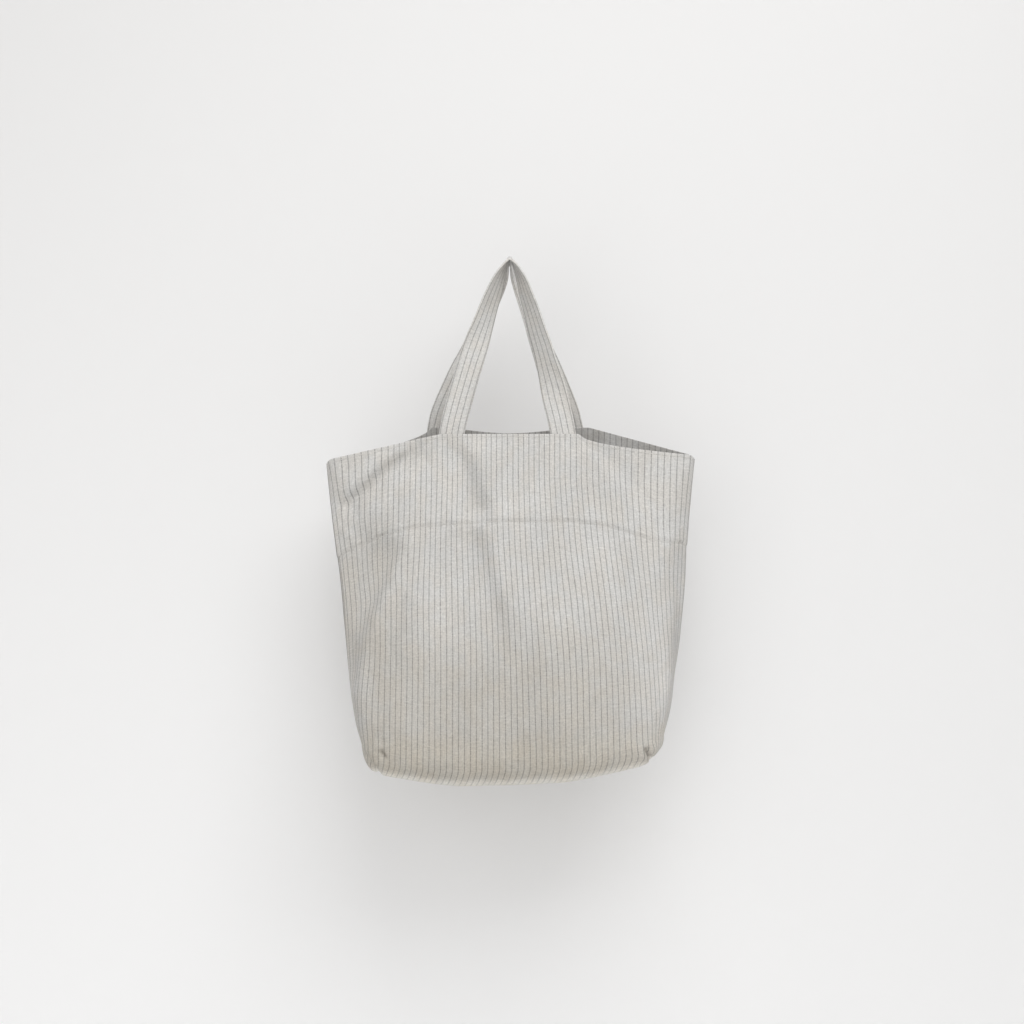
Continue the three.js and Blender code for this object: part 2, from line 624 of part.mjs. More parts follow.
for (const [name, panel] of Object.entries(panels)) {
  const noLift = panel.points.map(() => 0);
  addMesh(`${name}_panel`, thicken(panel.points, panel.normals, panel.faces, noLift, CLOTH), linen);
  addMesh(`${name}_facing`, makeFacing(panel), facingLinen);
  addMesh(`${name}_rim_stitching`, makePanelStitching(panel, RIM_STITCH_DEPTH), thread);
  addMesh(`${name}_hem_stitching`, makePanelStitching(panel, HEM_DEPTH), thread);
  addMesh(`${name}_strap`, makeStrap(panel), strapLinen);
  for (const [handName, hand] of Object.entries(hands)) {
    addMesh(`${name}_strap_end_${handName}`, makeTail(panel, hand), strapLinen);
    addMesh(`${name}_strap_stitching_${handName}`, makeStrapStitching(panel, hand), thread);
    addMesh(`${name}_corner_allowance_${handName}`, makeCornerAllowance(panel, hand), seamLinen);
  }
}
for (const [handName, hand] of Object.entries(hands)) {
  addMesh(`side_seam_allowance_${handName}`, makeSideAllowance(panels.back, hand), seamLinen);
}
addMesh("bottom_seam_allowance", makeBottomAllowance(panels.back), seamLinen);

export default bag;
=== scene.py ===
"""A soft striped linen tote bag that hangs by its two straps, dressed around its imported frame."""

from __future__ import annotations

import logging
import math
from dataclasses import dataclass, field
from enum import Enum
from functools import reduce
from typing import ClassVar

import bpy
import numpy as np
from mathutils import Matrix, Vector


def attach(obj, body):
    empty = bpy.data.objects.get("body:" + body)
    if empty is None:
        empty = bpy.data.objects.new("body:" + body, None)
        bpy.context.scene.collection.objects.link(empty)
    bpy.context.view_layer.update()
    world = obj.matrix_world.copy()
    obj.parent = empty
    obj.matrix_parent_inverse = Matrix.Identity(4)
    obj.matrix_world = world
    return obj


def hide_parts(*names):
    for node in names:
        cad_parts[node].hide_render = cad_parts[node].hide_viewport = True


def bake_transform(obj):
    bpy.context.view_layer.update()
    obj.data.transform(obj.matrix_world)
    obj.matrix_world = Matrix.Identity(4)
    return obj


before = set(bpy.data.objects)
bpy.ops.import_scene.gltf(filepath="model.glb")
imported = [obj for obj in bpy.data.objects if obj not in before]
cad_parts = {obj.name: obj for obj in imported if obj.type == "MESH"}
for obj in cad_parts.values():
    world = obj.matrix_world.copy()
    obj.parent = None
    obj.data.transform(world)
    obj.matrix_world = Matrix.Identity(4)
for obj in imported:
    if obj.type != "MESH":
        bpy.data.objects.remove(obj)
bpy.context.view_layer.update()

LOG = logging.getLogger("linen_bag")
MM = 0.001
CLOTH_UV = "cloth"

Table = tuple[tuple[float, float], ...]
Colour = tuple[float, float, float]
Point = tuple[float, float, float]
Socket = bpy.types.NodeSocket
Value = Socket | float
Range = tuple[float, ...]


class Named(Enum):
    """A choice that the frame's nodes have in their names."""

    @property
    def word(self) -> str:
        """The choice as the frame's nodes write it."""
        return self.name.lower()


class Side(Named):
    """The two faces of the bag, as the sign of Y that they look towards."""

    FRONT = -1
    BACK = 1


class Hand(Named):
    """Left and right as seen from the front, as the sign of X."""

    LEFT = -1
    RIGHT = 1


class Body(Enum):
    """The bodies of the frame that pieces ride on."""

    BAG = "bag"
    FRONT_HANDLE = "front_handle"
    BACK_HANDLE = "back_handle"


class Slot(Enum):
    """The record's material slots."""

    STRIPED = "striped_linen"
    FACING = "facing_linen"
    STRAP = "strap_linen"
    SEAM = "seam_linen"
    THREAD = "thread"


def smooth_table(table: Table, t: np.ndarray | float) -> np.ndarray:
    """Reads a table of (t, value) pairs, joined smoothly.

    Args:
        table: The pairs, in order of t.
        t: The places to read it at.

    Returns:
        The value at each place.
    """
    times, values = (np.array(column, float) for column in zip(*table))
    last = len(times) - 1
    here = np.arange(last + 1)
    before, after = np.maximum(here - 1, 0), np.minimum(here + 1, last)
    slopes = (values[after] - values[before]) / (times[after] - times[before])
    t = np.clip(np.asarray(t, float), times[0], times[-1])
    i = np.clip(np.searchsorted(times, t) - 1, 0, last - 1)
    span, rise = times[i + 1] - times[i], values[i + 1] - values[i]
    u = (t - times[i]) / span
    a, b = slopes[i] * span - rise, rise - slopes[i + 1] * span
    return values[i] + rise * u + u * (1 - u) * ((1 - u) * a + u * b)


def smoothstep(low: float, high: float, value: np.ndarray | float) -> np.ndarray:
    """A smooth step from 0 at low to 1 at high, whichever of the two is the greater."""
    t = np.clip((np.asarray(value, float) - low) / (high - low), 0.0, 1.0)
    return t * t * (3 - 2 * t)


def bell(distance: np.ndarray, width: float) -> np.ndarray:
    """A bell curve: 1 at no distance, and a third of that at one width."""
    return np.exp(-((distance / width) ** 2))


def unit(vectors: np.ndarray) -> np.ndarray:
    """The vectors at length 1."""
    return vectors / np.maximum(np.linalg.norm(vectors, axis=-1, keepdims=True), 1e-12)


def run_of(points: np.ndarray) -> np.ndarray:
    """The distance along a line of points, at each of them."""
    return np.concatenate([[0.0], np.cumsum(np.linalg.norm(np.diff(points, axis=0), axis=1))])


def soften(grid: np.ndarray, passes: int) -> np.ndarray:
    """Softens a grid of values, along its rows and columns alike.

    Args:
        grid: The values.
        passes: How often each one moves towards its neighbours.

    Returns:
        The softened grid.
    """
    for _ in range(passes):
        wide = np.pad(grid, 1, mode="edge")
        around = wide[:-2, 1:-1] + wide[2:, 1:-1] + wide[1:-1, :-2] + wide[1:-1, 2:]
        grid = grid / 2 + around / 8
    return grid


@dataclass(frozen=True)
class Fold:
    """A soft crease or ridge along a path on the hanging cloth, all in millimetres.

    Its two widths are those on either side of the path: left and right, for a path that runs down.
    Its fades are the shares of the path over which it rises and dies away.
    """

    path: Table
    widths: tuple[float, float]
    height: float
    fade_in: float = 0.15
    fade_out: float = 0.3

    def lift(self, x: np.ndarray, z: np.ndarray) -> np.ndarray:
        """How far the fold lifts the cloth outwards.

        Args:
            x: Places across the bag, in metres.
            z: Their heights.

        Returns:
            The lift at each place, in metres.
        """
        points = np.array(self.path, float) * MM
        run = run_of(points)
        nearest, along, beside = np.full(x.shape, np.inf), np.zeros(x.shape), np.zeros(x.shape)
        for start, end, before in zip(points, points[1:], run):
            (step_x, step_z), length = end - start, np.linalg.norm(end - start)
            off_x, off_z = x - start[0], z - start[1]
            s = np.clip((off_x * step_x + off_z * step_z) / length**2, 0.0, 1.0)
            gap = np.hypot(off_x - s * step_x, off_z - s * step_z)
            closer = gap < nearest
            nearest = np.where(closer, gap, nearest)
            along = np.where(closer, before + s * length, along)
            beside = np.where(closer, step_x * off_z - step_z * off_x, beside)
        width = np.where(beside < 0, self.widths[0], self.widths[1]) * MM
        share = along / run[-1]
        ends = smoothstep(0.0, self.fade_in, share) * smoothstep(1.0, 1.0 - self.fade_out, share)
        return self.height * MM * bell(nearest, width) * ends


@dataclass(frozen=True)
class Ripples:
    """Soft irregular waves all over the cloth, the same on every run, all in millimetres."""

    seed: int
    count: int
    shortest: float
    longest: float
    height: float
    upright: float

    def lift(self, u: np.ndarray, v: np.ndarray) -> np.ndarray:
        """How far the waves lift the cloth outwards.

        Args:
            u: Places across the cloth, in metres.
            v: Places down the cloth.

        Returns:
            The lift at each place, in metres.
        """
        draw = np.random.RandomState(self.seed)
        total = np.zeros(np.broadcast(u, v).shape)
        for _ in range(self.count):
            k = 2 * math.pi / (draw.uniform(self.shortest, self.longest) * MM)
            turn = draw.uniform(-1.0, 1.0) * (1.0 - self.upright) * math.pi / 2
            phase = draw.uniform(0.0, 2 * math.pi)
            total += np.sin(k * (u * math.cos(turn) + v * math.sin(turn)) + phase)
        return self.height * MM * total / math.sqrt(self.count)


@dataclass(frozen=True)
class Drape:
    """How the cloth of one side hangs: its folds, its waves, its pinched corners and its stripes.

    A stripe has its number, and the (height, x) places that it runs through, in millimetres.
    """

    folds: tuple[Fold, ...]
    ripples: tuple[Ripples, ...]
    pinches: tuple[Fold, ...] = ()
    stripes: dict[int, Table] = field(default_factory=dict)
    twist: float = 0.0

    def lift(self, x: np.ndarray, z: np.ndarray, u: np.ndarray, v: np.ndarray) -> np.ndarray:
        """The outward lift of the folds at (x, z) and of the waves at (u, v) on the cloth, in metres."""
        waves = sum(ripples.lift(u, v) for ripples in self.ripples)
        return waves + sum(fold.lift(x, z) for fold in self.folds)

    def pinch(self, x: np.ndarray, z: np.ndarray) -> np.ndarray:
        """The lift of the pinched corners, which reach down to the seams."""
        return sum((pinch.lift(x, z) for pinch in self.pinches), np.zeros(x.shape))


STRIPE_HEIGHTS = (-602, -502, -428, -352, -278)
STRIPE_PLACES = {
    -20: (-151, -152, -153, -151, -150),
    -15: (-118, -118, -120, -117, -116),
    -10: (-83, -84, -85, -85, -83),
    -5: (-47, -47, -49, -52, -52),
    0: (-12, -13, -16, -21, -23),
    5: (25, 22, 18, 13, 11),
    10: (61, 59, 53, 47, 43),
    15: (97, 96, 90, 81, 75),
    20: (133, 131, 125, 116, 110),
    25: (168, 164, 157, 148, 143),
}
FRONT_DRAPE = Drape(
    folds=(
        Fold(((-74, -212), (-62, -247), (-54, -272), (-47, -290), (-37, -309), (-31, -323), (-27, -345)),
             (24, 14), -5.5, 0.3, 0.15),
        Fold(((-54, -212), (-41, -247), (-33, -272), (-27, -290), (-18, -309), (-11, -330), (-2, -360),
              (8, -400)), (16, 40), 8.5, 0.2, 0.5),
        Fold(((-57, -322), (-45, -348), (-39, -362), (-32, -383), (-26, -407), (-19, -430), (-13, -457),
              (-9, -490), (-4, -525)), (24, 13), -7.0, 0.15, 0.4),
        Fold(((-40, -312), (-34, -330), (-27, -350), (-21, -362), (-14, -383), (-8, -407), (-1, -430),
              (6, -457), (12, -490), (18, -525), (23, -560)), (24, 46), 13.5, 0.1, 0.6),
        Fold(((-92, -222), (-116, -242), (-143, -259), (-160, -273), (-173, -286), (-190, -300),
              (-204, -311), (-214, -321)), (9, 20), -8.0, 0.25, 0.12),
        Fold(((-126, -244), (-143, -254), (-157, -265), (-172, -280), (-190, -296), (-206, -307)),
             (4, 9), -3.2, 0.25, 0.15),
        Fold(((-104, -218), (-132, -238), (-158, -256), (-180, -274), (-204, -296)), (9, 7), 2.0, 0.1, 0.3),
        Fold(((-213, -332), (-203, -345), (-192, -352)), (9, 9), 2.5, 0.2, 0.3),
        Fold(((-198, -330), (-187, -346), (-174, -362)), (12, 14), -2.0, 0.3, 0.3),
        Fold(((-134, -345), (-150, -372), (-166, -405), (-182, -440), (-193, -480)),
             (24, 14), -5.0, 0.25, 0.4),
        Fold(((-114, -338), (-128, -364), (-143, -401), (-160, -438), (-174, -475), (-181, -524),
              (-184, -561)), (12, 9), 4.0, 0.1, 0.3),
        Fold(((-199, -505), (-196, -540), (-191, -575), (-184, -602)), (10, 16), 2.3, 0.3, 0.3),
        Fold(((203, -400), (198, -480), (193, -550)), (12, 10), 3.0, 0.3, 0.3),
        Fold(((-128, -415), (-140, -447), (-146, -480), (-148, -525)), (9, 12), -2.5, 0.2, 0.4),
        Fold(((103, -224), (128, -255), (152, -285), (163, -316)), (11, 24), -3.5, 0.1, 0.3),
        Fold(((84, -232), (111, -260), (135, -288), (148, -315)), (16, 9), 2.5, 0.15, 0.3),
        Fold(((176, -290), (186, -330), (192, -360)), (10, 14), -2.0, 0.3, 0.3),
        Fold(((92, -345), (130, -400), (156, -460)), (30, 16), 2.0, 0.2, 0.5),
    ),
    ripples=(Ripples(11, 9, 75, 160, 0.8, 0.65), Ripples(12, 12, 28, 60, 0.28, 0.35)),
    pinches=(
        Fold(((-177, -604), (-171, -614), (-163, -626), (-157, -637)), (2.8, 2.8), -3.5, 0.1, 0.1),
        Fold(((-156, -600), (-151, -609), (-150, -614)), (2.4, 2.4), -6.0, 0.2, 0.3),
        Fold(((-164, -560), (-161, -585), (-160, -606)), (4, 4), 2.0, 0.4, 0.2),
        Fold(((-156, -570), (-155, -600)), (3.5, 3.5), -1.5, 0.4, 0.3),
        Fold(((-149, -575), (-147, -612)), (4, 4), 1.8, 0.4, 0.4),
        Fold(((163, -609), (169, -619), (175, -630)), (2.8, 2.8), -6.5, 0.12, 0.12),
        Fold(((158, -604), (163, -618), (168, -631)), (4, 3), 1.8, 0.3, 0.3),
        Fold(((170, -604), (178, -619)), (3, 4), 1.8, 0.3, 0.3),
        Fold(((199, -500), (196, -550), (192, -590), (184, -626)), (11, 12), 3.4, 0.55, 0.14),
    ),
    stripes={number: tuple(zip(STRIPE_HEIGHTS, places)) for number, places in STRIPE_PLACES.items()},
    twist=0.42,
)
BACK_DRAPE = Drape(
    folds=(
        Fold(((30, -230), (22, -320), (4, -420), (0, -520)), (22, 30), -3.5, 0.1, 0.5),
        Fold(((-110, -225), (-150, -270), (-190, -330)), (16, 16), -3.0, 0.15, 0.4),
        Fold(((112, -225), (150, -262), (186, -330)), (18, 18), -3.0, 0.15, 0.4),
    ),
    ripples=(Ripples(21, 9, 75, 160, 0.8, 0.65), Ripples(22, 12, 28, 60, 0.28, 0.35)),
)


@dataclass(frozen=True)
class Shape:
    """The sizes of the hanging bag, in metres, as the frame has them.

    A table of shares runs from the rim at 0 to the edge of the base at 1, and that of the hem from the
    left side seam at -1 to the right one at 1.
    """

    cloth: float = 0.8 * MM
    ply_gap: float = 0.3 * MM
    rim_width: float = 461 * MM
    rim_depth: float = 52 * MM
    rim_side_depth: float = 16 * MM
    rim_corner_round: float = 9 * MM
    rim_corner_fall: float = 1.8
    base_width: float = 342 * MM
    base_depth: float = 118 * MM
    back_setback: float = 26 * MM
    front_drop: float = 221 * MM
    back_drop: float = 218 * MM
    back_rise: float = 7 * MM
    corner_drops: tuple[float, float] = (253 * MM, 247 * MM)
    body_drop: float = 649 * MM
    base_flat_width: float = 130 * MM
    corner_lift: float = 17 * MM
    side_seam_drop: float = 632 * MM
    edge_round_height: float = 34 * MM
    edge_round_inset: float = 20 * MM
    hem_depth: float = 107 * MM
    facing_turn: float = 6 * MM
    rim_stitch_depth: float = 3.5 * MM
    tail_depth: float = 40 * MM
    seam_gap: float = 0.15 * MM
    seam_width: float = 10 * MM
    seam_end_gap: float = 4 * MM
    lens_power: float = 3.0
    front_fall_powers: tuple[float, float] = (1.0, 0.48)
    back_fall_powers: tuple[float, float] = (0.62, 1.0)
    base_rise_power: float = 1.2
    pull_power: float = 3.0
    settle_gain: float = 2.0
    hem_share: float = 0.27
    corner_reach_share: float = 0.9
    round_limit_share: float = 0.6
    corner_share: float = 0.7525
    lean_shares: Table = (
        (0, 0.18), (0.25, 0.4), (0.43, 0.98), (0.55, 0.94), (0.62, 0.88), (0.72, 0.56), (0.86, 0.5), (1, 0.5),
    )
    lean: float = 5 * MM
    base_tilts: tuple[float, float] = (0.025, 0.045)
    front_hem_shares: Table = (
        (-1, 1.095), (-0.9, 1.07), (-0.82, 1.035), (-0.74, 1.01), (-0.58, 0.995), (-0.5, 1.005),
        (-0.42, 1.03), (-0.33, 1.043), (-0.24, 1.03), (-0.1, 1.023), (0.1, 1.015), (0.27, 1.006),
        (0.33, 1.008), (0.37, 0.993), (0.43, 0.952), (0.5, 0.94), (0.57, 0.95), (0.66, 0.985),
        (0.75, 1.02), (0.86, 1.035), (1, 1.015),
    )
    narrowing_shares: Table = (
        (0, 0), (0.27, 0.19), (0.42, 0.265), (0.58, 0.348), (0.67, 0.4), (0.79, 0.495), (0.91, 0.632),
        (1, 0.76),
    )
    front_reach_shares: Table = ((0, 0), (0.25, 0.1), (0.5, 0.3), (0.75, 0.62), (0.9, 0.92), (1, 1))
    side_seam_shares: Table = ((0, 0.5), (0.3, 0.5), (0.6, 0.49), (1, 0.49))
    front_left_corner_shares: Table = (
        (0, 0.985), (0.14, 0.86), (0.27, 0.63), (0.35, 0.565), (0.436, 0.595), (0.523, 0.675),
        (0.66, 0.785), (0.744, 0.875), (0.83, 0.935), (1, 0.96),
    )
    front_right_corner_shares: Table = ((0, 0.985), (0.28, 0.9), (0.5, 0.86), (0.75, 0.91), (1, 0.955))
    back_corner_shares: Table = ((0, 0.985), (0.28, 0.97), (0.6, 0.965), (1, 0.99))
    corner_round_shares: Table = ((0, 0.016), (0.28, 0.1), (0.6, 0.13), (1, 0.11))
    strap_width: float = 32 * MM
    strap_thickness: float = 2.8 * MM
    strap_spreads: tuple[float, float] = (140.5 * MM, 167.5 * MM)
    strap_sways: tuple[float, float] = (-2.7 * MM, -5.7 * MM)
    strap_clearance: float = 1 * MM
    stub_height: float = 4 * MM
    strap_droop: float = 6.5 * MM
    face_points: int = 80
    corner_points: int = 24

    def of_side(self, side: Side, pair: tuple[float, float]) -> float:
        """The front's or the back's value of a pair."""
        return pair[0] if side is Side.FRONT else pair[1]

    def strap_x(self, side: Side, hand: Hand) -> float:
        """Where the middle of a strap's end sits along the rim."""
        spread, sway = self.of_side(side, self.strap_spreads), self.of_side(side, self.strap_sways)
        return hand.value * spread / 2 + sway

    def corner_table(self, side: Side, hand: Hand) -> Table:
        """How far out the soft upright edge of a face lies, down the body.

        Args:
            side: The panel.
            hand: Which half of it.

        Returns:
            The table, in shares of the half width.
        """
        if side is Side.BACK:
            return self.back_corner_shares
        return self.front_left_corner_shares if hand is Hand.LEFT else self.front_right_corner_shares

    def rim_height(self, side: Side, x: np.ndarray) -> np.ndarray:
        """The height of one panel's rim.

        Args:
            side: The panel.
            x: Distances from the middle of the rim.

        Returns:
            The heights.
        """
        outer, half = (self.of_side(side, self.strap_spreads) + self.strap_width) / 2, self.rim_width / 2
        top = -self.front_drop if side is Side.FRONT else self.back_rise - self.back_drop
        out, right = np.abs(x), x > 0
        powers = self.front_fall_powers if side is Side.FRONT else self.back_fall_powers
        fall = np.clip((out - outer) / (half - outer), 0.0, 1.0) ** np.where(right, powers[1], powers[0])
        dip = 0.0 if side is Side.FRONT else self.back_rise
        between = top - dip / 2 * (1 + np.cos(np.pi * np.minimum(out / outer, 1.0)))
        into_corner = smoothstep(half - self.rim_corner_round, half, out)
        rounded = self.rim_corner_round / self.rim_corner_fall * into_corner**2
        corner_drop = np.where(right, self.corner_drops[1], self.corner_drops[0])
        return between - (corner_drop + top) * fall - rounded

    def base_height(self, x: np.ndarray) -> np.ndarray:
        """The height of the underside of the base.

        Args:
            x: Distances from its middle.

        Returns:
            The heights.
        """
        out = np.maximum(np.abs(x) - self.base_flat_width / 2, 0.0)
        share = np.minimum(out / ((self.base_width - self.base_flat_width) / 2), 1.0)
        return -self.body_drop + self.corner_lift * share**self.base_rise_power

    def half_outline(self, side: Side, hand: Hand, t: float) -> np.ndarray:
        """Half of a level outline of a panel, from its middle out to the side seam.

        Args:
            side: The panel.
            hand: Which half.
            t: How far down the body, from the rim at 0 to the base edge at 1.

        Returns:
            Points of (distance out, y).
        """
        half = self.rim_width / 2
        half -= (self.rim_width - self.base_width) / 2 * smooth_table(self.narrowing_shares, t)
        reach = smooth_table(self.front_reach_shares, t)
        front = self.rim_depth / 2 * (1 - reach) + (self.base_depth - self.back_setback) * reach
        middle_y = -front if side is Side.FRONT else self.back_setback
        seam_y = self.back_setback - (front + self.back_setback) * smooth_table(self.side_seam_shares, t)
        corner_x = half * smooth_table(self.corner_table(side, hand), t)
        rim_corner_y = seam_y + side.value * self.rim_side_depth / 2
        low_corner_y = seam_y + (middle_y - seam_y) * self.corner_reach_share
        corner_y = rim_corner_y + (low_corner_y - rim_corner_y) * min(t / self.hem_share, 1.0)
        spread = half * smooth_table(self.corner_round_shares, t)
        x = np.linspace(0.0, corner_x - spread, self.face_points)
        y = corner_y + (middle_y - corner_y) * (1 - (x / corner_x) ** self.lens_power)
        face = np.stack([x, y], 1)
        corner = np.array([corner_x, corner_y])
        seam = np.array([half, seam_y + side.value * self.seam_gap])
        length = np.linalg.norm(seam - corner)
        end = corner + (seam - corner) * min(spread / length, self.round_limit_share)
        s = np.linspace(0.0, 1.0, self.corner_points)[1:, None]
        bend = face[-1] * (1 - s) ** 2 + corner * 2 * s * (1 - s) + end * s**2
        return np.concatenate([face, bend, end + (seam - end) * s])

    def section(self, side: Side, t: float, u: np.ndarray) -> np.ndarray:
        """A level outline of a panel, at even steps along the cloth of each half.

        Args:
            side: The panel.
            t: How far down the body, from the rim at 0 to the base edge at 1.
            u: Places across the cloth, from -1 at the left side seam to 1 at the right one.

        Returns:
            One (x, y) for each place.
        """
        out = np.zeros((len(u), 2))
        for hand in Hand:
            points = self.half_outline(side, hand, t)
            run = run_of(points)
            mine = u * hand.value >= 0
            place = np.abs(u[mine]) * run[-1]
            out[mine, 0] = hand.value * np.interp(place, run, points[:, 0])
            out[mine, 1] = np.interp(place, run, points[:, 1])
        return out

    def hinge(self, side: Side) -> tuple[float, float]:
        """Where a strap's free loop starts.

        Args:
            side: The strap's side.

        Returns:
            The y of the strap's middle plane at the rim, and the height.
        """
        x = self.of_side(side, self.strap_spreads) / 2
        outline = self.half_outline(side, Hand.RIGHT, 0.0)
        rim_y = float(np.interp(x, outline[:, 0], outline[:, 1]))
        rim_z = float(self.rim_height(side, np.array([x]))[0])
        y = rim_y - side.value * (self.cloth + self.ply_gap + self.strap_thickness / 2)
        return y, rim_z + self.stub_height + self.ply_gap


def numbered(grid: np.ndarray) -> np.ndarray:
    """The point numbers of a grid of points, rows by columns."""
    rows, columns = grid.shape[:2]
    return np.arange(rows * columns).reshape(rows, columns)


def cells(grid: np.ndarray, flip: bool) -> np.ndarray:
    """The four corners of each cell of a grid, in the order of a face.

    Args:
        grid: Point numbers, or places on the cloth, rows by columns.
        flip: Whether the faces look the other way.

    Returns:
        Four of the grid's values for each cell.
    """
    a, b, c, d = grid[:-1, :-1], grid[:-1, 1:], grid[1:, :-1], grid[1:, 1:]
    order = (a, b, d, c) if flip else (a, c, d, b)
    return np.stack([part.reshape(-1, *grid.shape[2:]) for part in order], 1)


def cell_places(u: np.ndarray, v: np.ndarray, flip: bool) -> np.ndarray:
    """The places on the cloth of the corners that cells gives, from those of a grid's points."""
    return cells(np.stack(np.broadcast_arrays(u, v), -1), flip)


def add_object(name: str, data: bpy.types.ID) -> bpy.types.Object:
    """Makes an object of a mesh, a lamp or a camera.

    Args:
        name: The object's name.
        data: What it shows.

    Returns:
        The new object, linked to the scene.
    """
    obj = bpy.data.objects.new(name, data)
    bpy.context.scene.collection.objects.link(obj)
    return obj


def cloth_mesh(name: str, points: np.ndarray, quads: np.ndarray, uv: np.ndarray) -> bpy.types.Object:
    """Makes a mesh object of quads, smooth shaded, with its places on the cloth as a UV map.

    Args:
        name: The object's name.
        points: One (x, y, z) for each point.
        quads: Four point numbers for each face.
        uv: Four (u, v) for each face, in metres.

    Returns:
        The new object, linked to the scene.
    """
    mesh = bpy.data.meshes.new(name)
    mesh.vertices.add(len(points))
    mesh.vertices.foreach_set("co", np.asarray(points, np.float32).ravel())
    mesh.loops.add(quads.size)
    mesh.loops.foreach_set("vertex_index", quads.astype(np.int32).ravel())
    mesh.polygons.add(len(quads))
    mesh.polygons.foreach_set("loop_start", np.arange(0, quads.size, 4, dtype=np.int32))
    mesh.polygons.foreach_set("use_smooth", np.ones(len(quads), bool))
    mesh.update(calc_edges=True)
    layer = mesh.uv_layers.new(name=CLOTH_UV)
    layer.data.foreach_set("uv", np.asarray(uv, np.float32).ravel())
    mesh.validate()
    return add_object(name, mesh)


@dataclass
class Cloth:
    """A sheet of cloth as a surface: its points, its quads, and each quad's place on the cloth."""

    points: np.ndarray
    quads: np.ndarray
    quad_uv: np.ndarray
    normals: np.ndarray = field(init=False)

    @classmethod
    def of_grid(cls, points: np.ndarray, u: np.ndarray, v: np.ndarray, flip: bool) -> Cloth:
        """The sheet that a grid of points makes, with the points' places on the cloth."""
        return cls(points.reshape(-1, 3), cells(numbered(points), flip), cell_places(u, v, flip))

    def __post_init__(self) -> None:
        """Works out the outward direction at each point."""
        self.refresh()

    def refresh(self) -> None:
        """Works out the outward direction at each point again, after the points have moved."""
        a, b, c, d = (self.points[self.quads[:, k]] for k in range(4))
        face = np.cross(c - a, d - b)
        normals = np.zeros_like(self.points)
        for k in range(4):
            np.add.at(normals, self.quads[:, k], face)
        self.normals = unit(normals)

    def level(self, numbers: np.ndarray) -> None:
        """Turns the outward directions at a seam into the seam's own plane.

        Args:
            numbers: The numbers of the seam's points.
        """
        normals = self.normals[numbers]
        normals[:, 1] = 0.0
        self.normals[numbers] = unit(normals)

    def solid(self, name: str, lift: np.ndarray | float, thickness: np.ndarray | float) -> bpy.types.Object:
        """Makes a closed mesh of the cloth.

        Args:
            name: The new object's name.
            lift: How far the outer skin stands off the surface.
            thickness: From the outer skin to the inner one.

        Returns:
            The new object.
        """
        count = len(self.points)
        lift = np.broadcast_to(np.asarray(lift, float), (count,))[:, None]
        depth = np.broadcast_to(np.asarray(thickness, float), (count,))[:, None]
        outer = self.points + self.normals * lift
        inner = self.points + self.normals * (lift - depth)
        starts, ends = self.quads.ravel(), np.roll(self.quads, -1, axis=1).ravel()
        borders = ~np.isin(starts * count + ends, ends * count + starts)
        p, q = starts[borders], ends[borders]
        uv_p = self.quad_uv.reshape(-1, 2)[borders]
        uv_q = np.roll(self.quad_uv, -1, axis=1).reshape(-1, 2)[borders]
        walls = np.stack([q, p, p + count, q + count], 1)
        quads = np.concatenate([self.quads, self.quads[:, ::-1] + count, walls])
        uv = np.concatenate([self.quad_uv, self.quad_uv[:, ::-1], np.stack([uv_q, uv_p, uv_p, uv_q], 1)])
        return cloth_mesh(name, np.concatenate([outer, inner]), quads, uv)


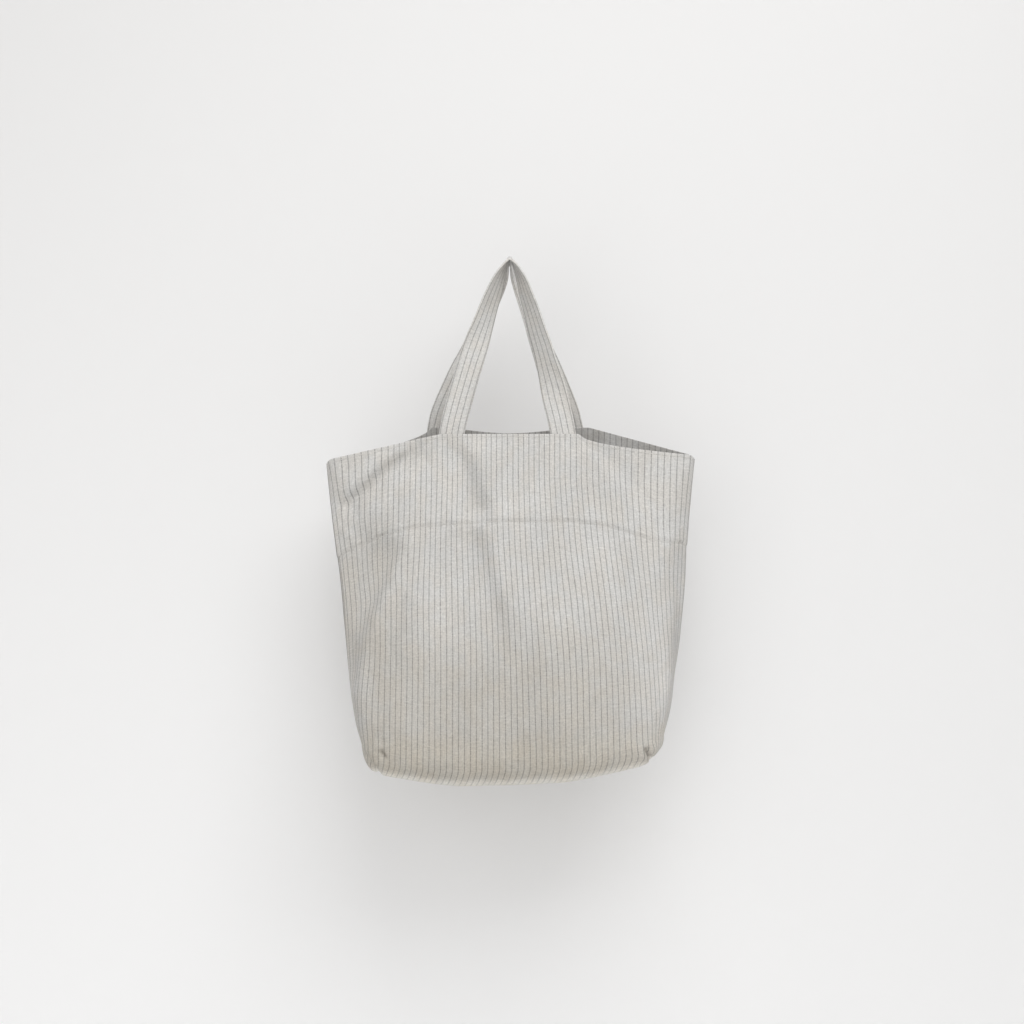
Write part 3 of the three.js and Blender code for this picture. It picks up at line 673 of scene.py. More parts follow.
@dataclass
class Panel:
    """One panel of the bag: its wall, which turns under into its half of the base.

    The side and hem dips, the hem's step and its pucker are each a height and a width.
    """

    shape: Shape
    side: Side
    drape: Drape
    half_columns: int = 101
    side_columns: int = 25
    hem_rows: int = 42
    face_rows: int = 110
    round_rows: int = 18
    twist_start: float = 12 * MM
    stripe_pitch: float = 7.2 * MM
    left_stripes: float = -30.0
    right_stripes: float = 36.5
    stripe_softening: int = 14
    edge_depths: tuple[float, ...] = (0.0, 0.2 * MM, 0.5 * MM)
    edge_lifts: tuple[float, ...] = (-0.28 * MM, -0.07 * MM, 0.0)
    first_drop: float = 1.2 * MM
    foot_calm: float = 0.8
    foot_fade: float = 45 * MM
    side_fade: float = 22 * MM
    rim_fade: tuple[float, float] = (-12 * MM, 30 * MM)
    side_dip: tuple[float, float] = (1.6 * MM, 2.2 * MM)
    hem_dip: tuple[float, float] = (1.5 * MM, 1.6 * MM)
    hem_step: tuple[float, float] = (1.2 * MM, 3 * MM)
    pucker: tuple[float, float] = (0.45 * MM, 9 * MM)
    pucker_pitch: float = 11 * MM
    pucker_sway: float = 23 * MM
    wall: np.ndarray = field(init=False)
    wall_u: np.ndarray = field(init=False)
    wall_v: np.ndarray = field(init=False)
    base: np.ndarray = field(init=False)
    cloth: Cloth = field(init=False)

    def __post_init__(self) -> None:
        """Lays the panel out, then drapes it, then finds each point's place on the cloth."""
        u = np.linspace(-1.0, 1.0, 2 * self.half_columns + 1)
        wall_points, drops = self.wall_rows(u)
        base_points = self.base_rows(wall_points[-1])
        nc, last = self.side_columns, len(u) - 1
        self.wall = numbered(wall_points)
        self.base = np.zeros(base_points.shape[:2], int)
        self.base[0] = self.wall[-1, nc: last - nc + 1]
        self.base[1:, 1:-1] = numbered(base_points[1:, 1:-1]) + self.wall.size
        self.base[1:, 0] = self.wall[-1, nc - 1:: -1][:nc]
        self.base[1:, -1] = self.wall[-1, last - nc + 1:]
        points = np.concatenate([wall_points.reshape(-1, 3), base_points[1:, 1:-1].reshape(-1, 3)])
        self.wall_v = np.broadcast_to(drops[:, None], self.wall.shape).copy()
        self.wall_u = np.broadcast_to(u * self.shape.rim_width / 2, self.wall.shape).copy()
        quads = np.concatenate([cells(self.wall, self.flip), cells(self.base, self.flip)])
        self.cloth = Cloth(points, quads, np.zeros((len(quads), 4, 2)))
        self.hang()
        self.wall_u = self.cloth_places(wall_points)
        base_v = drops[-1] + self.shape.base_depth / 2 / nc * np.arange(nc + 1)[:, None]
        base_u = self.wall_u[-1, nc: last - nc + 1][None, :]
        self.cloth.quad_uv = np.concatenate([
            cell_places(self.wall_u, self.wall_v, self.flip), cell_places(base_u, base_v, self.flip),
        ])

    @property
    def flip(self) -> bool:
        """Whether the panel's faces run the other way round."""
        return self.side is Side.BACK

    @property
    def seam_columns(self) -> float:
        """The width of a seam allowance, in columns."""
        return self.shape.seam_width / (self.shape.rim_width / 2 / self.half_columns)

    @property
    def cloth_width(self) -> float:
        """The width that the panel was cut to, between its side seams."""
        return (self.right_stripes - self.left_stripes) * self.stripe_pitch

    @property
    def cloth_length(self) -> float:
        """The length that the panel was cut to, from the rim to the seam under the base."""
        return float(self.wall_v[-1, 0]) + self.shape.base_depth / 2

    def wall_rows(self, u: np.ndarray) -> tuple[np.ndarray, np.ndarray]:
        """The wall's rows of points, from the rim to the edge of the base.

        Args:
            u: Places across the cloth, from -1 to 1.

        Returns:
            The points, and each row's distance from the rim along the cloth.
        """
        shape, middle = self.shape, len(u) // 2
        rim, foot = shape.section(self.side, 0.0, u), shape.section(self.side, 1.0, u)
        rim_z = shape.rim_height(self.side, rim[:, 0])
        half = foot[-1, 0]
        edge_z = shape.base_height(foot[:, 0] / half * shape.base_width / 2)
        beyond = np.clip((np.abs(u) - shape.corner_share) / (1 - shape.corner_share), 0.0, 1.0)
        foot_z = edge_z + (-shape.side_seam_drop - edge_z) * beyond + shape.edge_round_height
        rows = []
        depths = np.linspace(self.first_drop, shape.hem_depth, self.hem_rows)
        depths = np.concatenate([self.edge_depths, depths])
        stretch = smooth_table(shape.front_hem_shares, u) if self.side is Side.FRONT else np.ones(len(u))
        for depth in depths:
            outline = shape.section(self.side, shape.hem_share * depth / shape.hem_depth, u)
            rows.append(np.column_stack([outline, rim_z - depth * stretch]))
        hem_z = rim_z - shape.hem_depth * stretch
        for share in np.linspace(0.0, 1.0, self.face_rows + 1)[1:]:
            outline = shape.section(self.side, shape.hem_share + (1 - shape.hem_share) * share, u)
            rows.append(np.column_stack([outline, hem_z + (foot_z - hem_z) * share]))
        centre_y = shape.back_setback - shape.base_depth / 2
        for angle in np.linspace(0.0, math.pi / 2, self.round_rows + 1)[1:]:
            inset = shape.edge_round_inset * (1 - math.cos(angle))
            x = foot[:, 0] * (1 - inset / half)
            y = centre_y + (foot[:, 1] - centre_y) * (1 - inset / (shape.base_depth / 2))
            rows.append(np.column_stack([x, y, foot_z - shape.edge_round_height * math.sin(angle)]))
        rows = np.array(rows)
        drops = run_of(rows[:, middle])
        drops[: len(depths)] = depths
        drops[len(depths):] += depths[-1] - run_of(rows[: len(depths), middle])[-1]
        return rows, drops

    def base_rows(self, edge: np.ndarray) -> np.ndarray:
        """The rows of points of the panel's half of the base, from its edge to the middle seam.

        Args:
            edge: The wall's last row.

        Returns:
            The points. The two ends of each row are points of the wall's last row.
        """
        shape, nc, last = self.shape, self.side_columns, len(edge) - 1
        face = edge[nc: last - nc + 1]
        seam_x = edge[last, 0]
        middle = face.copy()
        middle[:, 0] = face[:, 0] / face[-1, 0] * seam_x
        middle[:, 1] = edge[0, 1]
        middle[:, 2] = np.minimum(shape.base_height(middle[:, 0] / seam_x * shape.base_width / 2), edge[0, 2])
        middle[[0, -1], 2] = edge[0, 2]
        u = np.linspace(0.0, 1.0, len(face))[:, None]
        rows = [face]
        for k in range(1, nc + 1):
            row = face + (middle - face) * k / nc
            row = row + (edge[nc - k] - row[0]) * (1 - u) ** shape.pull_power
            row = row + (edge[last - nc + k] - row[-1]) * u**shape.pull_power
            level = face[:, 2] + (middle[:, 2] - face[:, 2]) * min(1.0, k / nc * shape.settle_gain)
            weight = np.minimum(1.0, shape.settle_gain * np.sin(math.pi * u[:, 0]))
            row[:, 2] += (level - row[:, 2]) * weight
            row[0], row[-1] = edge[nc - k], edge[last - nc + k]
            rows.append(row)
        return np.array(rows)

    def hang(self) -> None:
        """Adds the folds, the waves and the seams' dips to the laid-out panel."""
        shape, cloth = self.shape, self.cloth
        count, foot_v = len(cloth.points), self.wall_v[-1, 0]
        u, v, on_wall = np.zeros(count), np.zeros(count), np.zeros(count, bool)
        x, y, z = cloth.points.T
        u[self.base], v[self.base] = x[self.base], foot_v + np.abs(y[self.base])
        u[self.wall], v[self.wall], on_wall[self.wall] = self.wall_u, self.wall_v, True
        from_side = np.where(on_wall, shape.rim_width / 2 - np.abs(u), np.inf)
        from_hem = np.where(on_wall, v - shape.hem_depth, np.inf)
        down = np.clip((-z - shape.front_drop) / (shape.body_drop - shape.front_drop), 0.0, 1.0)
        across = x + shape.lean * smooth_table(shape.lean_shares, down)
        lift = self.drape.lift(across, z, u, v)
        lift *= 1 - self.foot_calm * smoothstep(foot_v - self.foot_fade, foot_v, v)
        lift *= smoothstep(0.0, self.side_fade, from_side) * smoothstep(*self.rim_fade, v)
        lift += self.drape.pinch(across, z)
        lift -= self.side_dip[0] * bell(from_side, self.side_dip[1])
        pucker = np.sin(2 * np.pi * u / self.pucker_pitch + 2.0 * np.sin(u / self.pucker_sway))
        lift += self.pucker[0] * pucker * bell(from_hem, self.pucker[1])
        lift -= self.hem_dip[0] * bell(from_hem, self.hem_dip[1])
        step = self.hem_step[0] * smoothstep(self.hem_step[1], -self.hem_step[1], from_hem)
        lift += np.where(on_wall, step, 0.0)
        cloth.points = cloth.points + cloth.normals * lift[:, None]
        cloth.points[:, 0] += across - x
        tilt = np.where(across > 0, shape.base_tilts[1], shape.base_tilts[0])
        cloth.points[:, 2] += tilt * across * smoothstep(0.5, 1.0, down)
        cloth.refresh()
        cloth.level(np.concatenate([self.wall[:, 0], self.wall[:, -1], self.base[-1]]))

    def cloth_places(self, laid: np.ndarray) -> np.ndarray:
        """Finds each wall point's place across the cloth, as its distance from stripe 0.

        Args:
            laid: The wall's rows of points before they were draped.

        Returns:
            The places, rows by columns, in metres.
        """
        points = self.cloth.points[self.wall]
        columns = np.arange(points.shape[1], dtype=float)
        left, right = (n * self.stripe_pitch for n in (self.left_stripes, self.right_stripes))
        even, placed = np.zeros(self.wall.shape), np.zeros(self.wall.shape)
        for i, row in enumerate(points):
            run = run_of(laid[i])
            even[i] = left + (right - left) * run / run[-1]
            marks, places = [0.0], [left]
            for number, path in self.drape.stripes.items():
                off = row[:, 0] - smooth_table(path, row[:, 2] / MM) * MM
                marks.append(float(np.interp(np.interp(0.0, off, columns), columns, run)))
                places.append(number * self.stripe_pitch)
            placed[i] = np.interp(run, marks + [run[-1]], places + [right])
        under = np.maximum(self.wall_v - self.wall_v[-self.round_rows - 1, :] - self.twist_start, 0.0)
        twist = self.drape.twist * under**2 / (under + self.twist_start)
        return even + soften(placed - even, self.stripe_softening) + twist

    def read(self, values: np.ndarray, row: np.ndarray, column: np.ndarray) -> np.ndarray:
        """Reads a grid between its rows and columns.

        Args:
            values: The grid, rows by columns, of numbers or of points.
            row: Row numbers, with shares between rows.
            column: Column numbers, with shares between columns.

        Returns:
            The grid's value at each place.
        """
        row, column = np.broadcast_arrays(np.asarray(row, float), np.asarray(column, float))
        rows, columns = values.shape[:2]
        i = np.clip(np.floor(row).astype(int), 0, rows - 2)
        j = np.clip(np.floor(column).astype(int), 0, columns - 2)
        extra = (1,) * (values.ndim - 2)
        s, t = (row - i).reshape(row.shape + extra), (column - j).reshape(row.shape + extra)
        upper = values[i, j] * (1 - t) + values[i, j + 1] * t
        lower = values[i + 1, j] * (1 - t) + values[i + 1, j + 1] * t
        return upper * (1 - s) + lower * s

    def at(self, grid: np.ndarray, row: np.ndarray, column: np.ndarray,
           lift: np.ndarray | float = 0.0) -> np.ndarray:
        """Points on or off the panel, between a grid's rows and columns.

        Args:
            grid: The wall's or the base's grid of point numbers.
            row: Row numbers.
            column: Column numbers.
            lift: How far off the surface.

        Returns:
            One point for each place.
        """
        places = self.read(self.cloth.points[grid], row, column)
        ways = self.read(self.cloth.normals[grid], row, column)
        return places + ways * np.asarray(lift)[..., None]

    def row_at(self, drop: np.ndarray | float) -> np.ndarray:
        """The wall's row number at a distance from the rim along the cloth."""
        return np.interp(drop, self.wall_v[:, 0], np.arange(len(self.wall_v)))

    def column_at(self, x: np.ndarray | float) -> np.ndarray:
        """The wall's column number at a place along the rim."""
        return np.interp(x, self.cloth.points[self.wall[0], 0], np.arange(self.wall.shape[1]))

    def edge_profile(self, rows: int) -> tuple[np.ndarray, np.ndarray]:
        """The lift and the thickness that round off the top edge of a sheet at the rim.

        Args:
            rows: How many rows the sheet has.

        Returns:
            The lift and the thickness of each row.
        """
        lifts = np.zeros(rows)
        lifts[: len(self.edge_lifts)] = self.edge_lifts
        return lifts, self.shape.cloth + 2 * lifts

    def build(self) -> bpy.types.Object:
        """Makes the panel's mesh.

        Returns:
            The new object.
        """
        lifts, depths = self.edge_profile(len(self.wall))
        lift, depth = np.zeros(len(self.cloth.points)), np.full(len(self.cloth.points), self.shape.cloth)
        lift[self.wall], depth[self.wall] = lifts[:, None], depths[:, None]
        return self.cloth.solid(f"{self.side.word}_panel_cloth", lift, depth)


@dataclass
class Facing:
    """The deep strip of cloth inside one panel's rim, which bulges over the sewn-in strap ends."""

    panel: Panel
    tail_step: float = 3.2 * MM
    tail_side_fade: float = 9 * MM
    tail_foot_fade: float = 12 * MM
    rows: int = 42
    first_drop: float = 1.5 * MM
    stripe_offset: float = 1.9 * MM

    def build(self) -> bpy.types.Object:
        """Makes the facing's mesh.

        Returns:
            The new object.
        """
        panel, shape = self.panel, self.panel.shape
        drops = np.linspace(self.first_drop, shape.hem_depth + shape.facing_turn, self.rows)
        drops = np.concatenate([panel.edge_depths, drops])[:, None]
        row, column = panel.row_at(drops), np.arange(panel.wall.shape[1], dtype=float)[None, :]
        rim_x, half = panel.cloth.points[panel.wall[0], 0][None, :], shape.strap_width / 2
        beside = sum(smoothstep(half + self.tail_side_fade, half, np.abs(rim_x - middle))
                     for middle in (shape.strap_x(panel.side, hand) for hand in Hand))
        above = smoothstep(shape.tail_depth + self.tail_foot_fade, shape.tail_depth, drops)
        depth = shape.cloth + shape.ply_gap + self.tail_step * beside * above
        points = panel.at(panel.wall, row, column, -depth)
        u = panel.read(panel.wall_u, row, column) + self.stripe_offset
        cloth, numbers = Cloth.of_grid(points, u, drops, panel.flip), numbered(points)
        cloth.level(np.concatenate([numbers[:, 0], numbers[:, -1]]))
        lifts, depths = (np.repeat(values, u.shape[1]) for values in panel.edge_profile(len(drops)))
        return cloth.solid(f"{panel.side.word}_facing_cloth", lifts, depths)


@dataclass
class Allowance:
    """A strip of seam allowance flat inside a panel: two plies, oversewn along the raw edge."""

    panel: Panel
    name: str
    grid: np.ndarray
    rows: np.ndarray
    columns: np.ndarray
    width_points: ClassVar[int] = 6
    side_points: ClassVar[int] = 90
    base_points: ClassVar[int] = 130
    corner_points: ClassVar[int] = 30
    seam_inset: ClassVar[float] = 0.2
    base_end_columns: ClassVar[float] = 4.0

    @classmethod
    def inwards(cls, grid: np.ndarray, hand: Hand, start: float, end: float) -> np.ndarray:
        """The column numbers across a strip that lies along one side of a grid."""
        edge = grid.shape[1] - 1 if hand is Hand.RIGHT else 0
        return edge - hand.value * np.linspace(start, end, cls.width_points)[::-hand.value]

    @classmethod
    def of_side(cls, panel: Panel, hand: Hand) -> Allowance:
        """The allowance of a side seam, folded against the back panel.

        Args:
            panel: The back panel.
            hand: Which side.

        Returns:
            The strip.
        """
        shape = panel.shape
        first = panel.row_at(shape.hem_depth + shape.facing_turn + shape.seam_end_gap)
        rows = np.linspace(first, len(panel.wall) - 1 - panel.round_rows, cls.side_points)
        columns = cls.inwards(panel.wall, hand, cls.seam_inset, panel.seam_columns)
        return cls(panel, f"side_seam_strip_{hand.word}", panel.wall, rows, columns)

    @classmethod
    def of_base(cls, panel: Panel) -> Allowance:
        """The allowance of the seam along the middle of the base.

        Args:
            panel: The panel that it is folded against.

        Returns:
            The strip.
        """
        last, far = panel.base.shape[0] - 1, panel.base.shape[1] - 1 - cls.base_end_columns
        rows = np.linspace(last - panel.seam_columns, last - cls.seam_inset / 2, cls.width_points)
        columns = np.linspace(cls.base_end_columns, far, cls.base_points)
        return cls(panel, "bottom_seam_strip", panel.base, rows, columns)

    @classmethod
    def of_corner(cls, panel: Panel, hand: Hand) -> Allowance:
        """The allowance of a boxed corner's seam on one panel, folded onto the base.

        Args:
            panel: The panel.
            hand: Which corner.

        Returns:
            The strip.
        """
        rows = np.linspace(0.0, panel.base.shape[0] - 2.0, cls.corner_points)
        columns = cls.inwards(panel.base, hand, 1.0, 1.0 + panel.seam_columns)
        return cls(panel, f"{panel.side.word}_corner_strip_{hand.word}", panel.base, rows, columns)

    def build(self) -> bpy.types.Object:
        """Makes the strip's mesh.

        Returns:
            The new object.
        """
        panel, shape = self.panel, self.panel.shape
        inset = shape.cloth + shape.ply_gap
        points = panel.at(self.grid, self.rows[:, None], self.columns[None, :], -inset)
        across, along = np.linalg.norm(points - points[:, :1], axis=2), run_of(points[:, 0])[:, None]
        if points.shape[1] > points.shape[0]:
            across, along = np.linalg.norm(points - points[:1], axis=2), run_of(points[0])[None, :]
        return Cloth.of_grid(points, across, along, panel.flip).solid(self.name, 0.0, 2 * shape.cloth)


def stitches(name: str, centres: np.ndarray, along: np.ndarray, up: np.ndarray, length: float,
             radius: float) -> bpy.types.Object:
    """A row of separate stitches, each a short round-ended bar that dips into the cloth at both ends.

    Args:
        name: The row's name.
        centres: The middle of each stitch, on the cloth.
        along: The direction of each stitch.
        up: The outward direction at each stitch.
        length: A stitch's length.
        radius: The thread's radius.

    Returns:
        The new object.
    """
    sides, rings = 6, 7
    tip_share, crest, dip = 0.06, 0.9, 1.2
    along, up = unit(along), unit(up)
    beside = unit(np.cross(along, up))
    s = np.linspace(-1.0, 1.0, rings)
    swell = np.sqrt(np.maximum(1 - np.abs(s) ** 3, tip_share))
    angles = np.linspace(0.0, 2 * math.pi, sides, endpoint=False)
    arch = radius * (crest - dip * s**4)
    middles = (centres[:, None] + along[:, None] * (s * length / 2)[None, :, None]
               + up[:, None] * arch[None, :, None])
    ring = (beside[:, None, None] * np.cos(angles)[None, None, :, None]
            + up[:, None, None] * np.sin(angles)[None, None, :, None])
    points = middles[:, :, None] + ring * (radius * swell)[None, :, None, None]
    one = np.arange(rings * sides).reshape(rings, sides)
    bar = cells(np.concatenate([one, one[:, :1]], 1), True)
    around, down = np.meshgrid(np.arange(sides + 1) * radius, s * length / 2)
    bar_uv = cell_places(around, down, True)
    caps = np.array([[ends[k] for k in half] for ends in (one[0][::-1], one[-1])
                     for half in ((0, 1, 2, 3), (0, 3, 4, 5))])
    bar, bar_uv = np.concatenate([bar, caps]), np.concatenate([bar_uv, np.zeros((4, 4, 2))])
    firsts = np.arange(len(centres)) * rings * sides
    quads = (bar[None] + firsts[:, None, None]).reshape(-1, 4)
    return cloth_mesh(name, points.reshape(-1, 3), quads, np.tile(bar_uv, (len(centres), 1, 1)))


@dataclass
class PanelStitching:
    """A row of stitches along a panel, at a distance below the rim."""

    panel: Panel
    word: str
    drop: float
    pitch: float = 3.6 * MM
    length: float = 2.7 * MM
    radius: float = 0.36 * MM
    end_gap: float = 3 * MM
    pitch_play: float = 0.12
    drop_play: float = 0.18 * MM
    seed: int = 5

    def build(self) -> bpy.types.Object:
        """Makes the row's mesh.

        Returns:
            The new object.
        """
        panel, draw = self.panel, np.random.RandomState(self.seed)
        columns = np.arange(panel.wall.shape[1], dtype=float)
        run = run_of(panel.at(panel.wall, panel.row_at(self.drop), columns))
        places = np.arange(self.end_gap, run[-1] - self.end_gap, self.pitch)
        places = places + draw.uniform(-self.pitch_play, self.pitch_play, len(places)) * self.pitch
        column = np.interp(places, run, columns)
        row = panel.row_at(self.drop + draw.uniform(-self.drop_play, self.drop_play, len(places)))
        centres = panel.at(panel.wall, row, column)
        ahead = panel.at(panel.wall, row, column + 0.3) - panel.at(panel.wall, row, column - 0.3)
        up = panel.at(panel.wall, row, column, 1 * MM) - centres
        name = f"{panel.side.word}_{self.word}_stitches"
        return stitches(name, centres, ahead, up, self.length, self.radius)


@dataclass(frozen=True)
class Leg:
    """How one leg of a strap hangs, in shares.

    Its line is (how far out, how far down), from the hinge up. Its turn is (how high up, how much of
    the quarter turn that puts the strap on edge at the top).
    """

    line: Table
    turn: Table


BACK_LEG = Leg(
    line=((0.97, 1), (0.89, 0.89), (0.545, 0.56), (0.235, 0.225), (0.085, 0.062)),
    turn=((0, 0), (0.25, 0.05), (0.46, 0.36), (0.7, 0.5), (0.88, 0.58), (1, 1)),
)
LEGS = {
    (Side.FRONT, Hand.LEFT): Leg(
        line=((0.97, 1), (0.895, 0.89), (0.615, 0.56), (0.285, 0.225), (0.11, 0.062)),
        turn=((0, 0), (0.4, 0), (0.6, 0.4), (0.78, 0.6), (0.92, 0.8), (1, 1)),
    ),
    (Side.FRONT, Hand.RIGHT): Leg(
        line=((0.97, 1), (0.9, 0.89), (0.635, 0.56), (0.3, 0.225), (0.13, 0.062)),
        turn=((0, 0), (0.12, 0.15), (0.25, 0.36), (0.48, 0.49), (0.75, 0.67), (0.95, 0.87), (1, 1)),
    ),
    (Side.BACK, Hand.LEFT): BACK_LEG,
    (Side.BACK, Hand.RIGHT): BACK_LEG,
}


@dataclass
class Strap:
    """A strap: its free loop and its two ends, which run down between the panel and the facing."""

    panel: Panel
    step: float = 2.6 * MM
    tail_rows: int = 15
    stitch_inset: float = 3 * MM
    stitch_pitch: float = 3.5 * MM
    stitch_length: float = 2.6 * MM
    stitch_sink: float = 0.25 * MM
    stitch_end_gap: float = 2 * MM
    thread_radius: float = 0.32 * MM
    groove: tuple[float, float] = (0.3 * MM, 1.1 * MM)
    swell: float = 0.1 * MM
    edge_points: int = 7
    flat_points: int = 21
    bend_points: int = 60
    droop_from: float = 0.8
    ease_passes: int = 14
    ease_reach: float = 3.0
    ease_gain: float = 0.5
    square_share: float = 0.4
    waves: tuple[Point, ...] = ((0.25 * MM, 19 * MM, 0.0), (0.2 * MM, 7.3 * MM, 1.0))
    wave_fade: float = 30 * MM

    def line(self) -> np.ndarray:
        """The middle line of the free loop.

        Returns:
            Points of (x, z), from the left hinge to the right one.
        """
        shape, side = self.panel.shape, self.panel.side
        _, hinge_z = shape.hinge(side)
        crown = shape.strap_thickness / 2
        half, drop = shape.of_side(side, shape.strap_spreads) / 2, crown - hinge_z
        left, right = (np.array([(hand.value * half * out, crown - drop * down)
                                 for out, down in LEGS[side, hand].line]) for hand in Hand)
        points = np.concatenate([left, [[0.0, crown]], right[::-1]])
        padded = np.concatenate([[2 * points[0] - points[1]], points, [2 * points[-1] - points[-2]]])
        t = np.linspace(0.0, 1.0, self.bend_points, endpoint=False)[:, None]
        dense = []
        for p0, p1, p2, p3 in zip(padded, padded[1:], padded[2:], padded[3:]):
            bend = (2 * p0 - 5 * p1 + 4 * p2 - p3) * t**2 + (3 * p1 - p0 - 3 * p2 + p3) * t**3
            dense.append(p1 + ((p2 - p0) * t + bend) / 2)
        dense = np.concatenate(dense + [points[-1:]])
        down = (crown - dense[:, 1]) / drop
        dense[:, 0] += shape.of_side(side, shape.strap_sways) * smoothstep(0.0, 1.0, down)
        return dense

    def loop(self, offsets: np.ndarray) -> tuple[np.ndarray, np.ndarray]:
        """The free loop, which turns from lying flat at the rim to standing on edge at the top.

        Args:
            offsets: Distances across the strap from its middle, outwards.

        Returns:
            The points of the strap's middle surface, and its outward directions, rows by offsets.
        """
        shape, sign = self.panel.shape, self.panel.side.value
        line = self.line()
        run = run_of(line)
        places = np.linspace(0.0, run[-1], int(run[-1] / self.step) + 1)
        x, z = np.interp(places, run, line[:, 0]), np.interp(places, run, line[:, 1])
        tangent = unit(np.stack([np.gradient(x), np.gradient(z)], 1))
        root_y, hinge_z = shape.hinge(self.panel.side)
        crown = shape.strap_thickness / 2
        height = np.clip(1 - (crown - z) / (crown - hinge_z), 0.0, 1.0)
        crown_y = sign * (shape.strap_width / 2 + shape.strap_clearance)
        y = root_y + (crown_y - root_y) * height
        turns = [smooth_table(LEGS[self.panel.side, hand].turn, height) for hand in Hand]
        twist = (math.pi / 2 * np.where(x < 0, *turns))[:, None]
        flat = np.zeros(len(x))
        upright = np.stack([-tangent[:, 1], flat, tangent[:, 0]], 1)
        outward = np.array([0.0, sign, 0.0])
        face = outward * np.cos(twist) - upright * np.sin(twist)
        across = upright * np.cos(twist) + outward * np.sin(twist)
        level = np.stack([np.sign(upright[:, 0]), flat, flat], 1)
        square = np.clip(height / self.square_share, 0.0, 1.0)[:, None]
        width = unit(across * square + level * (1 - square))
        width = width / np.abs((width * across).sum(1, keepdims=True))
        middle = np.stack([x, y, z], 1)
        points = middle[:, None] + width[:, None] * offsets[None, :, None]
        near_edge = 0.5 + offsets / shape.strap_width
        droop = shape.strap_droop * near_edge * smoothstep(self.droop_from, 1.0, height)[:, None]
        points[..., 2] -= droop
        return points, np.repeat(face[:, None], len(offsets), axis=1)

    def tail(self, hand: Hand, offsets: np.ndarray) -> tuple[np.ndarray, np.ndarray]:
        """The sewn-in end of the strap on one hand, from its lowest row up to the rim.

        Args:
            hand: Which end.
            offsets: Distances across the strap from its middle, outwards.

        Returns:
            The points of the end's middle surface, and its outward directions, rows by offsets.
        """
        panel, shape = self.panel, self.panel.shape
        drops = np.linspace(shape.tail_depth, 0.3 * MM, self.tail_rows)[:, None]
        column = panel.column_at(shape.strap_x(panel.side, hand) + hand.value * offsets)[None, :]
        lift = -(shape.cloth + shape.ply_gap + shape.strap_thickness / 2)
        points = panel.at(panel.wall, panel.row_at(drops), column, lift)
        return points, unit(panel.at(panel.wall, panel.row_at(drops), column, lift + 1 * MM) - points)

    def surface(self, offsets: np.ndarray) -> tuple[np.ndarray, np.ndarray, np.ndarray]:
        """The whole strap from one sewn end to the other.

        Args:
            offsets: Distances across the strap from its middle, outwards.

        Returns:
            The points, the outward directions, and the run along the strap's middle.
        """
        with_middle = np.append(offsets, 0.0)
        loop, left, right = (
            self.loop(with_middle), self.tail(Hand.LEFT, with_middle), self.tail(Hand.RIGHT, with_middle))
        rows = [self.eased(np.concatenate([a, b, c[::-1]])) for a, b, c in zip(left, loop, right)]
        run = run_of(rows[0][:, -1])
        wave = sum(height * np.sin(run / length + phase) for height, length, phase in self.waves)
        inside = np.minimum(run, run[-1] - run) - self.panel.shape.tail_depth
        free = smoothstep(0.0, self.wave_fade, inside)
        faces = unit(rows[1])
        points = rows[0] + faces * (wave * free)[:, None, None]
        return points[:, :-1], faces[:, :-1], run

    def eased(self, rows: np.ndarray) -> np.ndarray:
        """Smooths the strap's rows where the sewn ends meet the loop.

        Args:
            rows: The rows of points or directions.

        Returns:
            The smoothed rows.
        """
        rows, places = rows.copy(), np.arange(len(rows))
        joints = (self.tail_rows, len(rows) - 1 - self.tail_rows)
        near = sum(bell(places - joint, self.ease_reach) for joint in joints)
        for _ in range(self.ease_passes):
            middle = (rows[:-2] + rows[2:]) / 2
            rows[1:-1] += (middle - rows[1:-1]) * near[1:-1, None, None] * self.ease_gain
        return rows

    def build(self) -> bpy.types.Object:
        """Makes the strap's mesh, with folded edges and a shallow groove at each row of stitches.

        Returns:
            The new object.
        """
        shape = self.panel.shape
        half_w, half_t = shape.strap_width / 2, shape.strap_thickness / 2
        edge = np.linspace(math.pi / 2, -math.pi / 2, self.edge_points)
        flat = np.linspace(-half_w + half_t, half_w - half_t, self.flat_points)[1:-1]
        groove = self.groove[0] * bell(np.abs(flat) - (half_w - self.stitch_inset), self.groove[1])
        height = half_t - groove + self.swell * np.cos(flat / half_w * math.pi / 2)
        outer = np.stack([flat, height], 1)
        right = np.stack([half_w - half_t + np.cos(edge) * half_t, np.sin(edge) * half_t], 1)
        section = np.concatenate([outer, right, outer[::-1] * (1, -1), right[::-1] * (-1, 1)])
        points, faces, run = self.surface(section[:, 0])
        points = points + faces * section[None, :, 1:2]
        numbers, size = numbered(points), points.shape[1]
        wrapped = np.concatenate([numbers, numbers[:, :1]], 1)
        girth = np.append(section[:, 0], section[0, 0])
        flip = not self.panel.flip
        quads, uv = cells(wrapped, flip), cell_places(girth[None, :], run[:, None], flip)
        folds = np.array([[k, k + 1, size - 2 - k, size - 1 - k] for k in range(size // 2 - 1)])
        first, last = numbers[0][folds], numbers[-1][folds][:, ::-1]
        caps = np.concatenate([first[:, ::-1], last[:, ::-1]] if flip else [first, last])
        quads, uv = np.concatenate([quads, caps]), np.concatenate([uv, np.zeros((len(caps), 4, 2))])
        return cloth_mesh(f"{self.panel.side.word}_strap_cloth", points.reshape(-1, 3), quads, uv)

